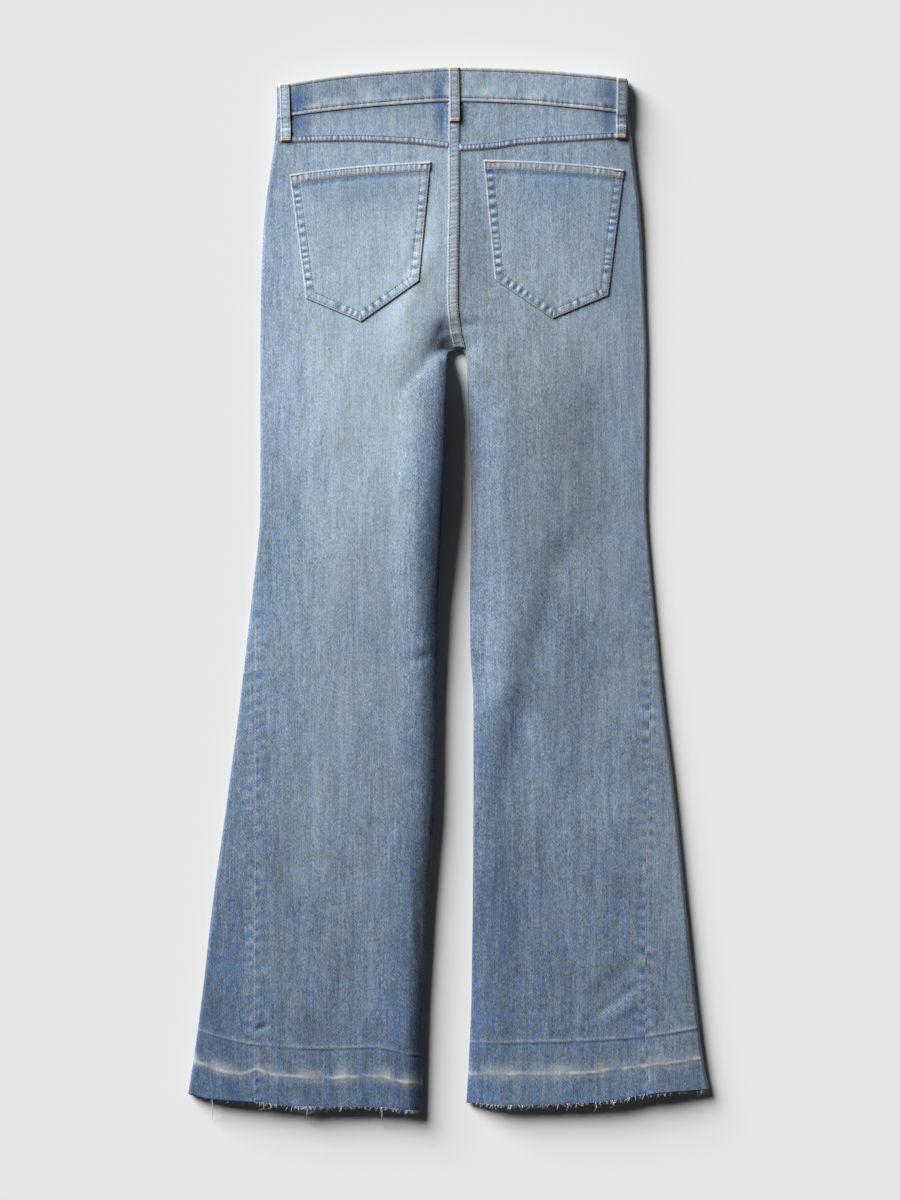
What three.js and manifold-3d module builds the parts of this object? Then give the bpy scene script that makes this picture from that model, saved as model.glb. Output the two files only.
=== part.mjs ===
// Flared jeans laid flat on their front, with the back up. Millimetres, +Z up, the waist towards +Y.
// Places on the garment are given as x, from the centre back, and down, the distance below the
// waistband's highest point.
import * as THREE from "three";
import { mergeVertices } from "three/addons/utils/BufferGeometryUtils.js";
import Module from "manifold-3d";

const wasm = await Module();
wasm.setup();

// Driving sizes
const CLOTH = 1.2; // denim, one layer
const BAND_CLOTH = 2.4; // waistband, two layers and what stiffens them
const SEAM_GAP = 0.3; // between two pieces that are sewn edge to edge
const LAY_GAP = 0.3; // under a piece that lies on another
const FOLD_LEVEL = 5.5; // height of the widest line of a folded edge
const UNDER_ROLL = 8; // how far in the cloth touches the ground from a folded edge
const BAND_RAISE = 1; // how far the waistband stands above the yoke
const YOKE_NOMINAL = 84.6; // down, where the yoke seam meets the centre back
const FRONT_NOMINAL = 68.5; // down, where the front waist seam meets the centre front
const HEM_NOMINAL = 1104; // down, the hem of a leg at its middle
const CROTCH = 299; // down, where the legs part
const LAP_WIDTH = { seat: 11.6, yoke: 8 }; // felled seams, across
const LAP_THICK = 1;
const POCKET_THICK = 1.4;
const POCKET_HEM = { height: 9.5, raise: 0.6 };
const POCKET_BOW = 0.012; // how far its top edge bows up, as a share of its width
const LOOP = { width: 10.8, thick: 1.6, arch: 2.2 };
const BUTTON = { radius: 8.5, thick: 3, rim: 1.1, dish: 0.8, sides: 32, x: 4, down: 51 };
const LIFTED = { reach: 38, from: 80, to: 150 }; // where the button under it lifts the garment
const OVERLAP = 22; // how far the buttoned ends of the waistband pass the button
const RISE_REACH = 45; // how far in the cloth is raised beside the left leg's inner fold
const RISE_KEPT = 0.4; // share of that which stays above the roll of the fold

// Rows and columns of the panels
const SEAT_ROWS = 6;
const SEAT_END = 284; // down, where the rows close up towards the crotch
const CROTCH_ROWS = [293, CROTCH, 301, 305, 311, 321, 336, 358];
const THIGH_ROWS = [385, 410, 436, 459, 485, 507];
const LEG_ROWS = 17;
const ROUND_INSETS = [0, 1.1, 4, UNDER_ROLL]; // columns at a folded edge, by how far in they are
const FRONT_SHARES = [0.16, 0.34, 0.6]; // columns between those
const WRAP_SHARES = [0.34, 0.62, 0.84, 1]; // columns from the outer fold up to the side seam
const POCKET_ROWS = [0.25, 0.45, 0.65, 0.85, 1]; // below its hem
const POCKET_COLUMNS = [0, 0.04, 0.25, 0.5, 0.75, 1]; // from a side to the point
const SEAM_FADE = 270; // down, where rows stop following the seam above them
const HEM_FADE = 760; // down, where rows start to follow the hem

// Outline seen from above: the outer edges of hips and legs
const OUTLINE = [
  { down: -5, left: -186.8, right: 184.4 },
  { down: 50, left: -189, right: 186 },
  { down: 77, left: -190.8, right: 189.2 },
  { down: 104, left: -194.5, right: 191.9 },
  { down: 141, left: -199.8, right: 196.6 },
  { down: 183, left: -203.5, right: 199.8 },
  { down: 247, left: -205.6, right: 202.5 },
  { down: 310, left: -206.2, right: 204.6 },
  { down: 385, left: -206.2, right: 204.6 },
  { down: 459, left: -206.2, right: 204 },
  { down: 485, left: -206.9, right: 205.1 },
  { down: 507, left: -208.8, right: 206.7 },
  { down: 565, left: -215.2, right: 212 },
  { down: 671, left: -227.4, right: 222.6 },
  { down: 777, left: -241.2, right: 235.3 },
  { down: 883, left: -256, right: 246 },
  { down: 989, left: -268.2, right: 257 },
  { down: 1052, left: -276.7, right: 265 },
  { down: 1112, left: -286.3, right: 277 },
];

// The inner edges of the legs, from the crotch to the hem
const INSIDE_LEG = [
  { down: 299, left: 6.4, right: 6.4 },
  { down: 301, left: 1.6, right: 9.4 },
  { down: 305, left: -3, right: 11.8 },
  { down: 311, left: -6.2, right: 13.2 },
  { down: 332, left: -7.4, right: 14.3 },
  { down: 374, left: -9, right: 15.4 },
  { down: 459, left: -12.2, right: 18.6 },
  { down: 565, left: -16.4, right: 17 },
  { down: 618, left: -17, right: 17.5 },
  { down: 671, left: -18, right: 20.7 },
  { down: 777, left: -19.6, right: 20.7 },
  { down: 830, left: -23.3, right: 20.4 },
  { down: 883, left: -27, right: 20.1 },
  { down: 936, left: -29.7, right: 19.3 },
  { down: 989, left: -32.3, right: 18.6 },
  { down: 1042, left: -33.4, right: 16.4 },
  { down: 1112, left: -33.4, right: 12.5 },
];

// Height of the upper layer, and how far in its folded edges reach before they lie level
const THICKNESS = [
  { down: -5, height: 15, outer: 14, inner: 24 },
  { down: 60, height: 15.5, outer: 15, inner: 26 },
  { down: 150, height: 17, outer: 16, inner: 28 },
  { down: 300, height: 18, outer: 18, inner: 30 },
  { down: 450, height: 17, outer: 17, inner: 24 },
  { down: 650, height: 16, outer: 16, inner: 20 },
  { down: 900, height: 15, outer: 15, inner: 18 },
  { down: 1112, height: 14.5, outer: 14, inner: 15 },
];

// How much higher than the others the left leg's inner fold stands, clear of the ground
const INNER_RISE = [
  { down: 299, rise: 0 },
  { down: 330, rise: 5 },
  { down: 370, rise: 9.5 },
  { down: 450, rise: 11.5 },
  { down: 600, rise: 11 },
  { down: 700, rise: 9 },
  { down: 900, rise: 6.5 },
  { down: 1112, rise: 3 },
];

// Side seams: below the knee the front panels wrap round to the back
const SIDE_SEAM = [
  { down: 0, left: -211.5, right: 209.9 },
  { down: 650, left: -211.5, right: 209.9 },
  { down: 764, left: -211.5, right: 207.2 },
  { down: 873, left: -211.8, right: 205.3 },
  { down: 983, left: -212.4, right: 204.3 },
  { down: 1112, left: -212, right: 206.8 },
];
const SEAM_IN = 1.3; // where no front panel shows, the side seam lies this far in from the edge

// The seat seam, down the middle of the back, and the fly front seam under it
const SEAT_SEAM = [
  { down: 30, x: 0 },
  { down: 141, x: 0 },
  { down: 194, x: -1 },
  { down: 247, x: -1.4 },
  { down: 279, x: 1.8 },
  { down: 299, x: 6.4 },
];

// Edges and seams that run across, from one side of the garment to the other
const WAIST_TOP = [
  { x: -190, down: 18.8 },
  { x: -163, down: 14.8 },
  { x: -108, down: 7.4 },
  { x: -57, down: 3.2 },
  { x: 0, down: 0 },
  { x: 70, down: 1.8 },
  { x: 128, down: 5.8 },
  { x: 190, down: 11.7 },
];
const WAIST_SEAM = [
  { x: -190, down: 53.5 },
  { x: -108, down: 44.1 },
  { x: -57, down: 39.8 },
  { x: 0, down: 36.7 },
  { x: 70, down: 38.7 },
  { x: 123, down: 43 },
  { x: 190, down: 49.5 },
];
const YOKE_SEAM = [
  { x: -190, down: 76.9 },
  { x: -108, down: 75.6 },
  { x: -48, down: 77.9 },
  { x: -7, down: 82.6 },
  { x: 8, down: 85.6 },
  { x: 41, down: 83.4 },
  { x: 71, down: 79 },
  { x: 130, down: 75.3 },
  { x: 190, down: 71 },
];
const FRONT_TOP = [
  { x: -190, down: 18.8 },
  { x: -100, down: 26 },
  { x: 0, down: 32 },
  { x: 100, down: 24 },
  { x: 190, down: 11.7 },
];
const FRONT_SEAM = [
  { x: -190, down: 53.5 },
  { x: -100, down: 62 },
  { x: 0, down: 68.5 },
  { x: 100, down: 60 },
  { x: 190, down: 49.5 },
];
const HEM = [
  { x: -286, down: 1089.7 },
  { x: -255, down: 1095 },
  { x: -213, down: 1098 },
  { x: -167, down: 1103 },
  { x: -79, down: 1104 },
  { x: -34, down: 1107.7 },
  { x: 12, down: 1099.8 },
  { x: 51, down: 1101.9 },
  { x: 142, down: 1099.2 },
  { x: 178, down: 1095.5 },
  { x: 206, down: 1089.5 },
  { x: 276, down: 1084.9 },
];

// The largest folds in the upper layer: a soft trough, or a ridge where depth is negative
const FOLDS = [
  { x: 128, down: 480, toX: 74, toDown: 660, width: 20, depth: 3 },
  { x: 74, down: 640, toX: 36, toDown: 850, width: 18, depth: 3.2 },
  { x: 38, down: 830, toX: 32, toDown: 1030, width: 15, depth: 2.2 },
  { x: 96, down: 520, toX: 44, toDown: 700, width: 24, depth: -2 },
  { x: 20, down: 130, toX: 36, toDown: 330, width: 24, depth: 1.3 },
  { x: -14, down: 150, toX: -70, toDown: 360, width: 24, depth: -1.2 },
  { x: -60, down: 560, toX: -48, toDown: 860, width: 22, depth: 1.6 },
  { x: -150, down: 700, toX: -178, toDown: 960, width: 24, depth: 1.4 },
  { x: 138, down: 1000, toX: 196, toDown: 945, width: 12, depth: 1.6 },
  { x: -196, down: 290, toX: -110, toDown: 430, width: 26, depth: -1.2 },
  { x: 150, down: 300, toX: 176, toDown: 560, width: 24, depth: 1.4 },
];

// Back pockets: the corners of each patch
const POCKETS = {
  left: {
    topLeft: { x: -174.4, down: 113.7 },
    topRight: { x: -24.4, down: 100.5 },
    bottomLeft: { x: -156.9, down: 245.3 },
    point: { x: -98.2, down: 270.3 },
    bottomRight: { x: -37, down: 227.3 },
  },
  right: {
    topLeft: { x: 31.2, down: 98.6 },
    topRight: { x: 181, down: 108.4 },
    bottomLeft: { x: 43.5, down: 225.4 },
    point: { x: 104.8, down: 267.1 },
    bottomRight: { x: 164, down: 242.1 },
  },
};

// Belt loops on the back: x at the top and at the foot, how far down the foot is, and where the
// loop comes to lie on a felled seam
const LOOPS = [
  { name: "loop_left", topX: -179.6, footX: -177.8, foot: 78.5, onLapFrom: 68 },
  { name: "loop_centre", topX: 0, footX: 0.8, foot: 58.5, onLapFrom: 36 },
  { name: "loop_right", topX: 177.8, footX: 176.8, foot: 75.5, onLapFrom: 64 },
];

// The raw hems: a frayed strip along each with short strands, and long loose threads that lie on
// the ground
const FRAY = {
  strip: 2.4,
  thick: 0.8,
  strands: 62,
  root: 1.4,
  short: 2.4,
  long: 5.2,
  thickness: 0.42,
  looseThickness: 0.55,
};
const LOOSE_THREADS = {
  left: [
    { x: -257, length: 24, sway: 1.5 },
    { x: -203, length: 9, sway: 5 },
    { x: -156, length: 18, sway: 1 },
    { x: -77, length: 21, sway: 2.5 },
  ],
  right: [
    { x: 60, length: 9, sway: -2 },
    { x: 150, length: 11, sway: 3 },
    { x: 186, length: 8, sway: -3 },
  ],
};

const SIDES = { left: -1, right: 1 }; // the side's name and the way out from the centre

// Colours of the washed cloth, as the eye sees them
const DENIM = new THREE.MeshStandardMaterial({ color: 0x8199b0, roughness: 0.92, metalness: 0 });
const BAND = new THREE.MeshStandardMaterial({ color: 0x91a2b3, roughness: 0.92, metalness: 0 });
const TRIM = new THREE.MeshStandardMaterial({ color: 0xa3aeb8, roughness: 0.92, metalness: 0 });
const YARN = new THREE.MeshStandardMaterial({ color: 0xc9c6bd, roughness: 0.95, metalness: 0 });
const METAL = new THREE.MeshStandardMaterial({ color: 0xa98a5c, roughness: 0.35, metalness: 1 });

// Smooth reading of a table: Hermite curves whose slopes never overshoot the rows
function reader(rows, at, key) {
  const slopes = rows.map((row, i) => {
    if (i === 0 || i === rows.length - 1) {
      const j = Math.max(i, 1);
      return (rows[j][key] - rows[j - 1][key]) / (rows[j][at] - rows[j - 1][at]);
    }
    const before = (row[key] - rows[i - 1][key]) / (row[at] - rows[i - 1][at]);
    const after = (rows[i + 1][key] - row[key]) / (rows[i + 1][at] - row[at]);
    return before * after <= 0 ? 0 : (2 * before * after) / (before + after);
  });
  return (value) => {
    let i = rows.findIndex((row) => row[at] > value) - 1;
    if (i === -2) {
      const last = rows.length - 1;
      return rows[last][key] + slopes[last] * (value - rows[last][at]);
    }
    if (i === -1) return rows[0][key] + slopes[0] * (value - rows[0][at]);
    const span = rows[i + 1][at] - rows[i][at];
    const t = (value - rows[i][at]) / span;
    const rise = t * t * (3 - 2 * t);
    return (
      rows[i][key] * (1 - rise) +
      rows[i + 1][key] * rise +
      span * t * (1 - t) * ((1 - t) * slopes[i] - t * slopes[i + 1])
    );
  };
}

const outer = { left: reader(OUTLINE, "down", "left"), right: reader(OUTLINE, "down", "right") };
const inner = { left: reader(INSIDE_LEG, "down", "left"), right: reader(INSIDE_LEG, "down", "right") };
const seamOnBack = { left: reader(SIDE_SEAM, "down", "left"), right: reader(SIDE_SEAM, "down", "right") };
const height = reader(THICKNESS, "down", "height");
const outerRoll = reader(THICKNESS, "down", "outer");
const innerRoll = reader(THICKNESS, "down", "inner");
const innerRise = reader(INNER_RISE, "down", "rise");
const seatSeam = reader(SEAT_SEAM, "down", "x");
const waistTop = reader(WAIST_TOP, "x", "down");
const waistSeam = reader(WAIST_SEAM, "x", "down");
const yokeSeam = reader(YOKE_SEAM, "x", "down");
const frontTop = reader(FRONT_TOP, "x", "down");
const frontSeam = reader(FRONT_SEAM, "x", "down");
const hem = reader(HEM, "x", "down");

const lerp = THREE.MathUtils.lerp;
const smooth = (value, low, high) => THREE.MathUtils.smoothstep(value, low, high);
// 0 at a folded edge and 1 where the cloth lies level: a quarter ellipse
const rounded = (share) => (share >= 1 ? 1 : Math.sqrt(1 - (1 - Math.max(share, 0)) ** 2));

// The side seam's x, which is at the fold where the front panel doesn't show
function sideSeam(side, down) {
  const way = SIDES[side];
  const edge = outer[side](down) - way * SEAM_IN;
  return way * Math.min(way * edge, way * seamOnBack[side](down));
}

// The edge of the opening between the legs, as a line of points from one hem round to the other
const legGap = [];
for (const side of ["left", "right"]) {
  const points = [];
  for (let down = CROTCH; down < 1120; down += down < 315 ? 1 : 6)
    points.push(new THREE.Vector2(inner[side](down), down));
  legGap.push(...(side === "left" ? points.reverse() : points.slice(1)));
}

// How far a place is from the opening between the legs
function gapDistance(x, down) {
  let best = Infinity;
  const place = new THREE.Vector2(x, down);
  const near = new THREE.Vector2();
  for (let i = 1; i < legGap.length; i++) {
    const a = legGap[i - 1];
    const along = near.copy(legGap[i]).sub(a);
    const t = THREE.MathUtils.clamp(place.clone().sub(a).dot(along) / along.lengthSq(), 0, 1);
    best = Math.min(best, along.multiplyScalar(t).add(a).distanceTo(place));
  }
  return best;
}

// How far a place is from the nearer outer edge, square to that edge
function edgeDistance(x, down) {
  const side = x < seatSeam(Math.min(down, CROTCH)) ? "left" : "right";
  const slope = (outer[side](down + 1) - outer[side](down - 1)) / 2;
  return Math.max(0, SIDES[side] * (outer[side](down) - x)) / Math.hypot(1, slope);
}

// How deep the folds are at a place
function foldDepth(x, down) {
  let sum = 0;
  for (const fold of FOLDS) {
    const ax = fold.toX - fold.x;
    const ay = fold.toDown - fold.down;
    const length = Math.hypot(ax, ay);
    const along = ((x - fold.x) * ax + (down - fold.down) * ay) / length;
    const across = ((x - fold.x) * ay - (down - fold.down) * ax) / length;
    const ends = smooth(along, 0, length * 0.3) * (1 - smooth(along, length * 0.7, length));
    sum += fold.depth * ends * Math.exp(-((across / fold.width) ** 2));
  }
  return sum;
}

// How much a place is raised by the left leg's inner fold
function riseAt(x, down) {
  if (down <= CROTCH || x > seatSeam(CROTCH)) return 0;
  return innerRise(down) * (1 - smooth(gapDistance(x, down), 0, RISE_REACH));
}

// Height of the upper layer's outside
function topLevel(x, down) {
  const level =
    rounded(edgeDistance(x, down) / outerRoll(down)) * rounded(gapDistance(x, down) / innerRoll(down));
  const rise = riseAt(x, down);
  const above = height(down) - FOLD_LEVEL - foldDepth(x, down) - (1 - RISE_KEPT) * rise;
  return FOLD_LEVEL + rise + level * above;
}

// The buttoned front is lifted off the ground by the button under it
function buttonLift(x, down) {
  const across = Math.exp(-(((x - BUTTON.x) / LIFTED.reach) ** 2));
  return (BUTTON.thick + LAY_GAP) * across * (1 - smooth(down, LIFTED.from, LIFTED.to));
}

// Height of the lower layer's outside
function underLevel(x, down) {
  const level =
    rounded(edgeDistance(x, down) / UNDER_ROLL) * rounded(gapDistance(x, down) / UNDER_ROLL);
  return (FOLD_LEVEL + riseAt(x, down)) * (1 - level) + buttonLift(x, down);
}

// A point of a layer, and which way is out of the garment there
function place(level, sign, x, down) {
  const step = 0.25;
  const dx = (level(x + step, down) - level(x - step, down)) / (2 * step);
  const dDown = (level(x, down + step) - level(x, down - step)) / (2 * step);
  const normal = new THREE.Vector3(-dx, dDown, 1).normalize().multiplyScalar(sign);
  return { at: new THREE.Vector3(x, -down, level(x, down)), out: normal };
}
const onTop = (x, down) => place(topLevel, 1, x, down);
const underneath = (x, down) => place(underLevel, -1, x, down);

// A point on a folded edge, where the cloth stands upright
function onFold(line, x, down, way, lift) {
  const slope = (line(down + 0.5) - line(down - 0.5)) * way;
  const out = new THREE.Vector3(1, slope, 0).normalize().multiplyScalar(way);
  return { at: new THREE.Vector3(x, -down, FOLD_LEVEL + riseAt(x, down) + lift), out };
}

// A closed wall between two grids of points; a ring's last column joins its first
function wall(outside, inside, ring = false) {
  const rows = outside.length;
  const columns = outside[0].length;
  const positions = [];
  for (const grid of [outside, inside])
    for (const row of grid) for (const p of row) positions.push(p.x, p.y, p.z);
  const id = (layer, r, c) => (layer * rows + r) * columns + (c % columns);
  const index = [];
  const quad = (a, b, c, d) => index.push(a, b, c, a, c, d);
  const spans = ring ? columns : columns - 1;
  for (let r = 0; r < rows - 1; r++)
    for (let c = 0; c < spans; c++) {
      quad(id(0, r, c), id(0, r + 1, c), id(0, r + 1, c + 1), id(0, r, c + 1));
      quad(id(1, r, c), id(1, r, c + 1), id(1, r + 1, c + 1), id(1, r + 1, c));
    }
  for (let c = 0; c < spans; c++) {
    quad(id(0, 0, c), id(0, 0, c + 1), id(1, 0, c + 1), id(1, 0, c));
    quad(id(0, rows - 1, c), id(1, rows - 1, c), id(1, rows - 1, c + 1), id(0, rows - 1, c + 1));
  }
  if (!ring)
    for (let r = 0; r < rows - 1; r++) {
      quad(id(0, r, 0), id(1, r, 0), id(1, r + 1, 0), id(0, r + 1, 0));
      const c = columns - 1;
      quad(id(0, r, c), id(0, r + 1, c), id(1, r + 1, c), id(1, r, c));
    }
  return facingOut(positions, index);
}

// The geometry of a closed surface, turned so that its faces point out
function facingOut(positions, index) {
  const at = (i) => new THREE.Vector3().fromArray(positions, 3 * i);
  let volume = 0;
  for (let i = 0; i < index.length; i += 3)
    volume += at(index[i]).dot(at(index[i + 1]).cross(at(index[i + 2])));
  if (volume < 0)
    for (let i = 0; i < index.length; i += 3) [index[i + 1], index[i + 2]] = [index[i + 2], index[i + 1]];
  const geometry = new THREE.BufferGeometry();
  geometry.setAttribute("position", new THREE.Float32BufferAttribute(positions, 3));
  geometry.setIndex(index);
  geometry.computeVertexNormals();
  return geometry;
}

// The points of a grid of places, moved out of the garment by height
const layer = (grid, height) =>
  grid.map((row) => row.map((p) => p.at.clone().addScaledVector(p.out, height)));

// A wall from a grid of places: its outside moved out by raise, and its inside thick below that
function clothWall(grid, thick, raise = 0) {
  return wall(layer(grid, raise), layer(grid, raise - thick));
}

const garment = new THREE.Group();
function add(name, geometry, material) {
  const mesh = new THREE.Mesh(geometry, material);
  mesh.name = name;
  garment.add(mesh);
}

// Shares from 0 to 1 that stand close at both ends
const closeAtEnds = (count) =>
  Array.from({ length: count + 1 }, (_, i) => (1 - Math.cos((Math.PI * i) / count)) / 2);
const evenly = (count) => Array.from({ length: count + 1 }, (_, i) => i / count);
const ACROSS_PANEL = closeAtEnds(15);

// Rows of a leg panel, by how far down they are at the middle of the garment
function rowsFrom(start) {
  const seat = evenly(SEAT_ROWS).map((share) => lerp(start, SEAT_END, share));
  const knee = THIGH_ROWS.at(-1);
  const legs = evenly(LEG_ROWS).map((share) => lerp(knee, HEM_NOMINAL, share));
  return [...seat, ...CROTCH_ROWS, ...THIGH_ROWS, ...legs.slice(1)];
}

// How far down a row is at x: the first row follows its seam and the last follows the hem
function rowDown(row, x, seam, nominal) {
  const atSeam = (seam(x) - nominal) * (1 - smooth(row, nominal, SEAM_FADE));
  const atHem = (hem(x) - HEM_NOMINAL) * smooth(row, HEM_FADE, HEM_NOMINAL);
  return row + atSeam + atHem;
}

// x and down where a row meets a line that runs down the garment
function meet(line, row, guess, seam, nominal, trim = 0) {
  let x = guess;
  let down = row;
  for (let i = 0; i < 8; i++) {
    down = rowDown(row, x, seam, nominal) - trim;
    x = line(down);
  }
  return { x, down };
}

// The inner boundary of a panel: the seat seam, and below the crotch the leg's inner edge
function innerLine(side) {
  return (down) =>
    down <= CROTCH ? seatSeam(down) + (SIDES[side] * SEAM_GAP) / 2 : inner[side](down);
}

// Back leg panel, from the yoke seam to the hem
function backGrid(side) {
  const way = SIDES[side];
  const line = innerLine(side);
  const seam = (down) => sideSeam(side, down) - (way * SEAM_GAP) / 2;
  return rowsFrom(YOKE_NOMINAL).map((row, r) => {
    const trim = r === 0 ? -SEAM_GAP / 2 : 0;
    const a = meet(line, row, line(row), yokeSeam, YOKE_NOMINAL, trim);
    const b = meet(seam, row, way * 205, yokeSeam, YOKE_NOMINAL, trim);
    return ACROSS_PANEL.map((share, c) => {
      if (c === 0 && row >= CROTCH) return foldStart(side, a, 1);
      const x = lerp(a.x, b.x, share);
      return onTop(x, rowDown(row, x, yokeSeam, YOKE_NOMINAL) - trim);
    });
  });
}

// Where a panel starts at the leg's inner edge, just above or below the inside leg seam
function foldStart(side, start, sign) {
  const lift = (sign * SEAM_GAP) / 2;
  if (start.down < CROTCH + 0.5) {
    const at = new THREE.Vector3(start.x, -start.down, FOLD_LEVEL + lift);
    return { at, out: new THREE.Vector3(0, -1, 0) };
  }
  return onFold(inner[side], start.x, start.down, -SIDES[side], lift);
}

// The x of each column of a front layer, from near the centre to the outer fold
function frontColumns(way, from, to) {
  return [
    ...ROUND_INSETS.map((inset) => from + way * inset),
    ...FRONT_SHARES.map((share) => lerp(from, to, share)),
    ...ROUND_INSETS.toReversed().map((inset) => to - way * inset),
  ];
}

// Front leg panel: the lower layer, round the outer fold and up to the side seam
function frontGrid(side) {
  const way = SIDES[side];
  const line = innerLine(side);
  const seam = (down) => sideSeam(side, down) + (way * SEAM_GAP) / 2;
  return rowsFrom(FRONT_NOMINAL).map((row, r) => {
    const trim = r === 0 ? -SEAM_GAP / 2 : 0;
    const downAt = (x) => rowDown(row, x, frontSeam, FRONT_NOMINAL) - trim;
    const a = meet(line, row, line(row), frontSeam, FRONT_NOMINAL, trim);
    const b = meet(outer[side], row, way * 205, frontSeam, FRONT_NOMINAL, trim);
    const c = meet(seam, row, way * 205, frontSeam, FRONT_NOMINAL, trim);
    const across = frontColumns(way, a.x, b.x);
    const places = across.map((x, i) => {
      if (i === 0 && row >= CROTCH) return foldStart(side, a, -1);
      if (i === across.length - 1) return onFold(outer[side], b.x, b.down, way, 0);
      return underneath(x, downAt(x));
    });
    for (const share of WRAP_SHARES) {
      const x = lerp(b.x, c.x, 1 - Math.cos((share * Math.PI) / 2));
      places.push(onTop(x, downAt(x)));
    }
    return places;
  });
}

// A strip across the garment on the upper layer, between two lines across and two that run down
function strip(fromLine, toLine, upper, lower, across, columns, thick, raise) {
  const grid = across.map((share) => {
    const downAt = (x) => lerp(upper(x), lower(x), share);
    const from = meetAcross(fromLine, downAt, fromLine(60));
    const to = meetAcross(toLine, downAt, toLine(60));
    return columns.map((u) => onTop(lerp(from, to, u), downAt(lerp(from, to, u))));
  });
  return clothWall(grid, thick, raise);
}

function yoke(side) {
  const half = (SIDES[side] * SEAM_GAP) / 2;
  return strip(
    () => half,
    (down) => sideSeam(side, down) - half,
    (x) => waistSeam(x) + SEAM_GAP / 2,
    (x) => yokeSeam(x) - SEAM_GAP / 2,
    evenly(2),
    ACROSS_PANEL,
    CLOTH,
    0,
  );
}

function waistbandBack() {
  return strip(
    (down) => sideSeam("left", down) + SEAM_GAP / 2,
    (down) => sideSeam("right", down) - SEAM_GAP / 2,
    waistTop,
    (x) => waistSeam(x) - SEAM_GAP / 2,
    evenly(3),
    closeAtEnds(24),
    BAND_CLOTH,
    BAND_RAISE,
  );
}

// Half of the front waistband: under the garment, round the fold and up to the side seam. The
// left end laps over the outside of the right one
function waistbandFront(side) {
  const way = SIDES[side];
  const past = [0.4, 1].map((share) => lerp(0, BUTTON.x - way * OVERLAP, share));
  const grid = evenly(3).map((share) => {
    const downAt = (x) => lerp(frontTop(x), frontSeam(x) - SEAM_GAP / 2, share);
    const edge = meetAcross(outer[side], downAt, way * 188);
    const seam = meetAcross((down) => sideSeam(side, down), downAt, way * 188) + (way * SEAM_GAP) / 2;
    const columns = frontColumns(way, (way * SEAM_GAP) / 2, edge);
    columns.pop();
    const places = [...past.toReversed(), ...columns].map((x) => {
      const p = underneath(x, downAt(x));
      const lapped = side === "right" ? 1 - smooth(way * x, OVERLAP, 3 * OVERLAP) : 0;
      p.at.z += (BAND_CLOTH + LAY_GAP) * lapped;
      return p;
    });
    places.push(onFold(outer[side], edge, downAt(edge), way, 0));
    for (const part of [0.5, 1]) {
      const x = lerp(edge, seam, part);
      places.push(onTop(x, downAt(x)));
    }
    return places;
  });
  return clothWall(grid, BAND_CLOTH);
}

// The x at which a line that runs down the garment crosses one that runs across it
function meetAcross(line, downAt, guess) {
  let x = guess;
  for (let i = 0; i < 8; i++) x = line(downAt(x));
  return x;
}

// A felled seam's lap over the seat seam
function seatLap() {
  const top = waistSeam(0) + 1;
  const downs = [top, lerp(top, YOKE_NOMINAL, 0.5), ...rowsFrom(YOKE_NOMINAL)];
  downs.splice(downs.indexOf(CROTCH) - 1, Infinity, CROTCH - 9);
  const grid = downs.map((down) =>
    evenly(4).map((share) => onTop(seatSeam(down) + (share - 0.5) * LAP_WIDTH.seat, down)),
  );
  return clothWall(grid, LAP_THICK, LAP_THICK + LAY_GAP);
}

// A felled seam's lap over a yoke seam, from the seat lap to the side
function yokeLap(side) {
  const start = (LAP_WIDTH.seat / 2 + SEAM_GAP) / Math.abs(sideSeam(side, 75));
  return strip(
    () => 0,
    (down) => sideSeam(side, down),
    (x) => yokeSeam(x) - LAP_WIDTH.yoke / 2,
    (x) => yokeSeam(x) + LAP_WIDTH.yoke / 2,
    evenly(2),
    [start, ...ACROSS_PANEL.filter((share) => share > 1.5 * start && share < 1)],
    LAP_THICK,
    LAP_THICK + LAY_GAP,
  );
}

// A back pocket: a patch with a folded hem along its top and a point at its foot
function pocket(corners) {
  const { topLeft, topRight, bottomLeft, point, bottomRight } = corners;
  const width = topRight.x - topLeft.x;
  const pointShare = (point.x - bottomLeft.x) / (bottomRight.x - bottomLeft.x);
  const columns = [
    ...POCKET_COLUMNS.map((u) => u * pointShare),
    ...POCKET_COLUMNS.toReversed().slice(1).map((u) => lerp(1, pointShare, u)),
  ];
  const tall = bottomLeft.down - topLeft.down;
  const hemShare = POCKET_HEM.height / tall;
  const across = [0, hemShare, hemShare + 0.008, ...POCKET_ROWS];
  const corner = (a, b, u) => ({ x: lerp(a.x, b.x, u), down: lerp(a.down, b.down, u) });
  const grid = across.map((v) =>
    columns.map((u) => {
      const top = corner(topLeft, topRight, u);
      top.down -= Math.sin(Math.PI * u) * POCKET_BOW * width;
      const foot =
        u <= pointShare
          ? corner(bottomLeft, point, u / pointShare)
          : corner(point, bottomRight, (u - pointShare) / (1 - pointShare));
      return onTop(lerp(top.x, foot.x, v), lerp(top.down, foot.down, v));
    }),
  );
  const lift = POCKET_THICK + LAY_GAP;
  const hemRows = layer(grid.slice(0, 2), lift + POCKET_HEM.raise);
  return wall([...hemRows, ...layer(grid.slice(2), lift)], layer(grid, LAY_GAP));
}

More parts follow.
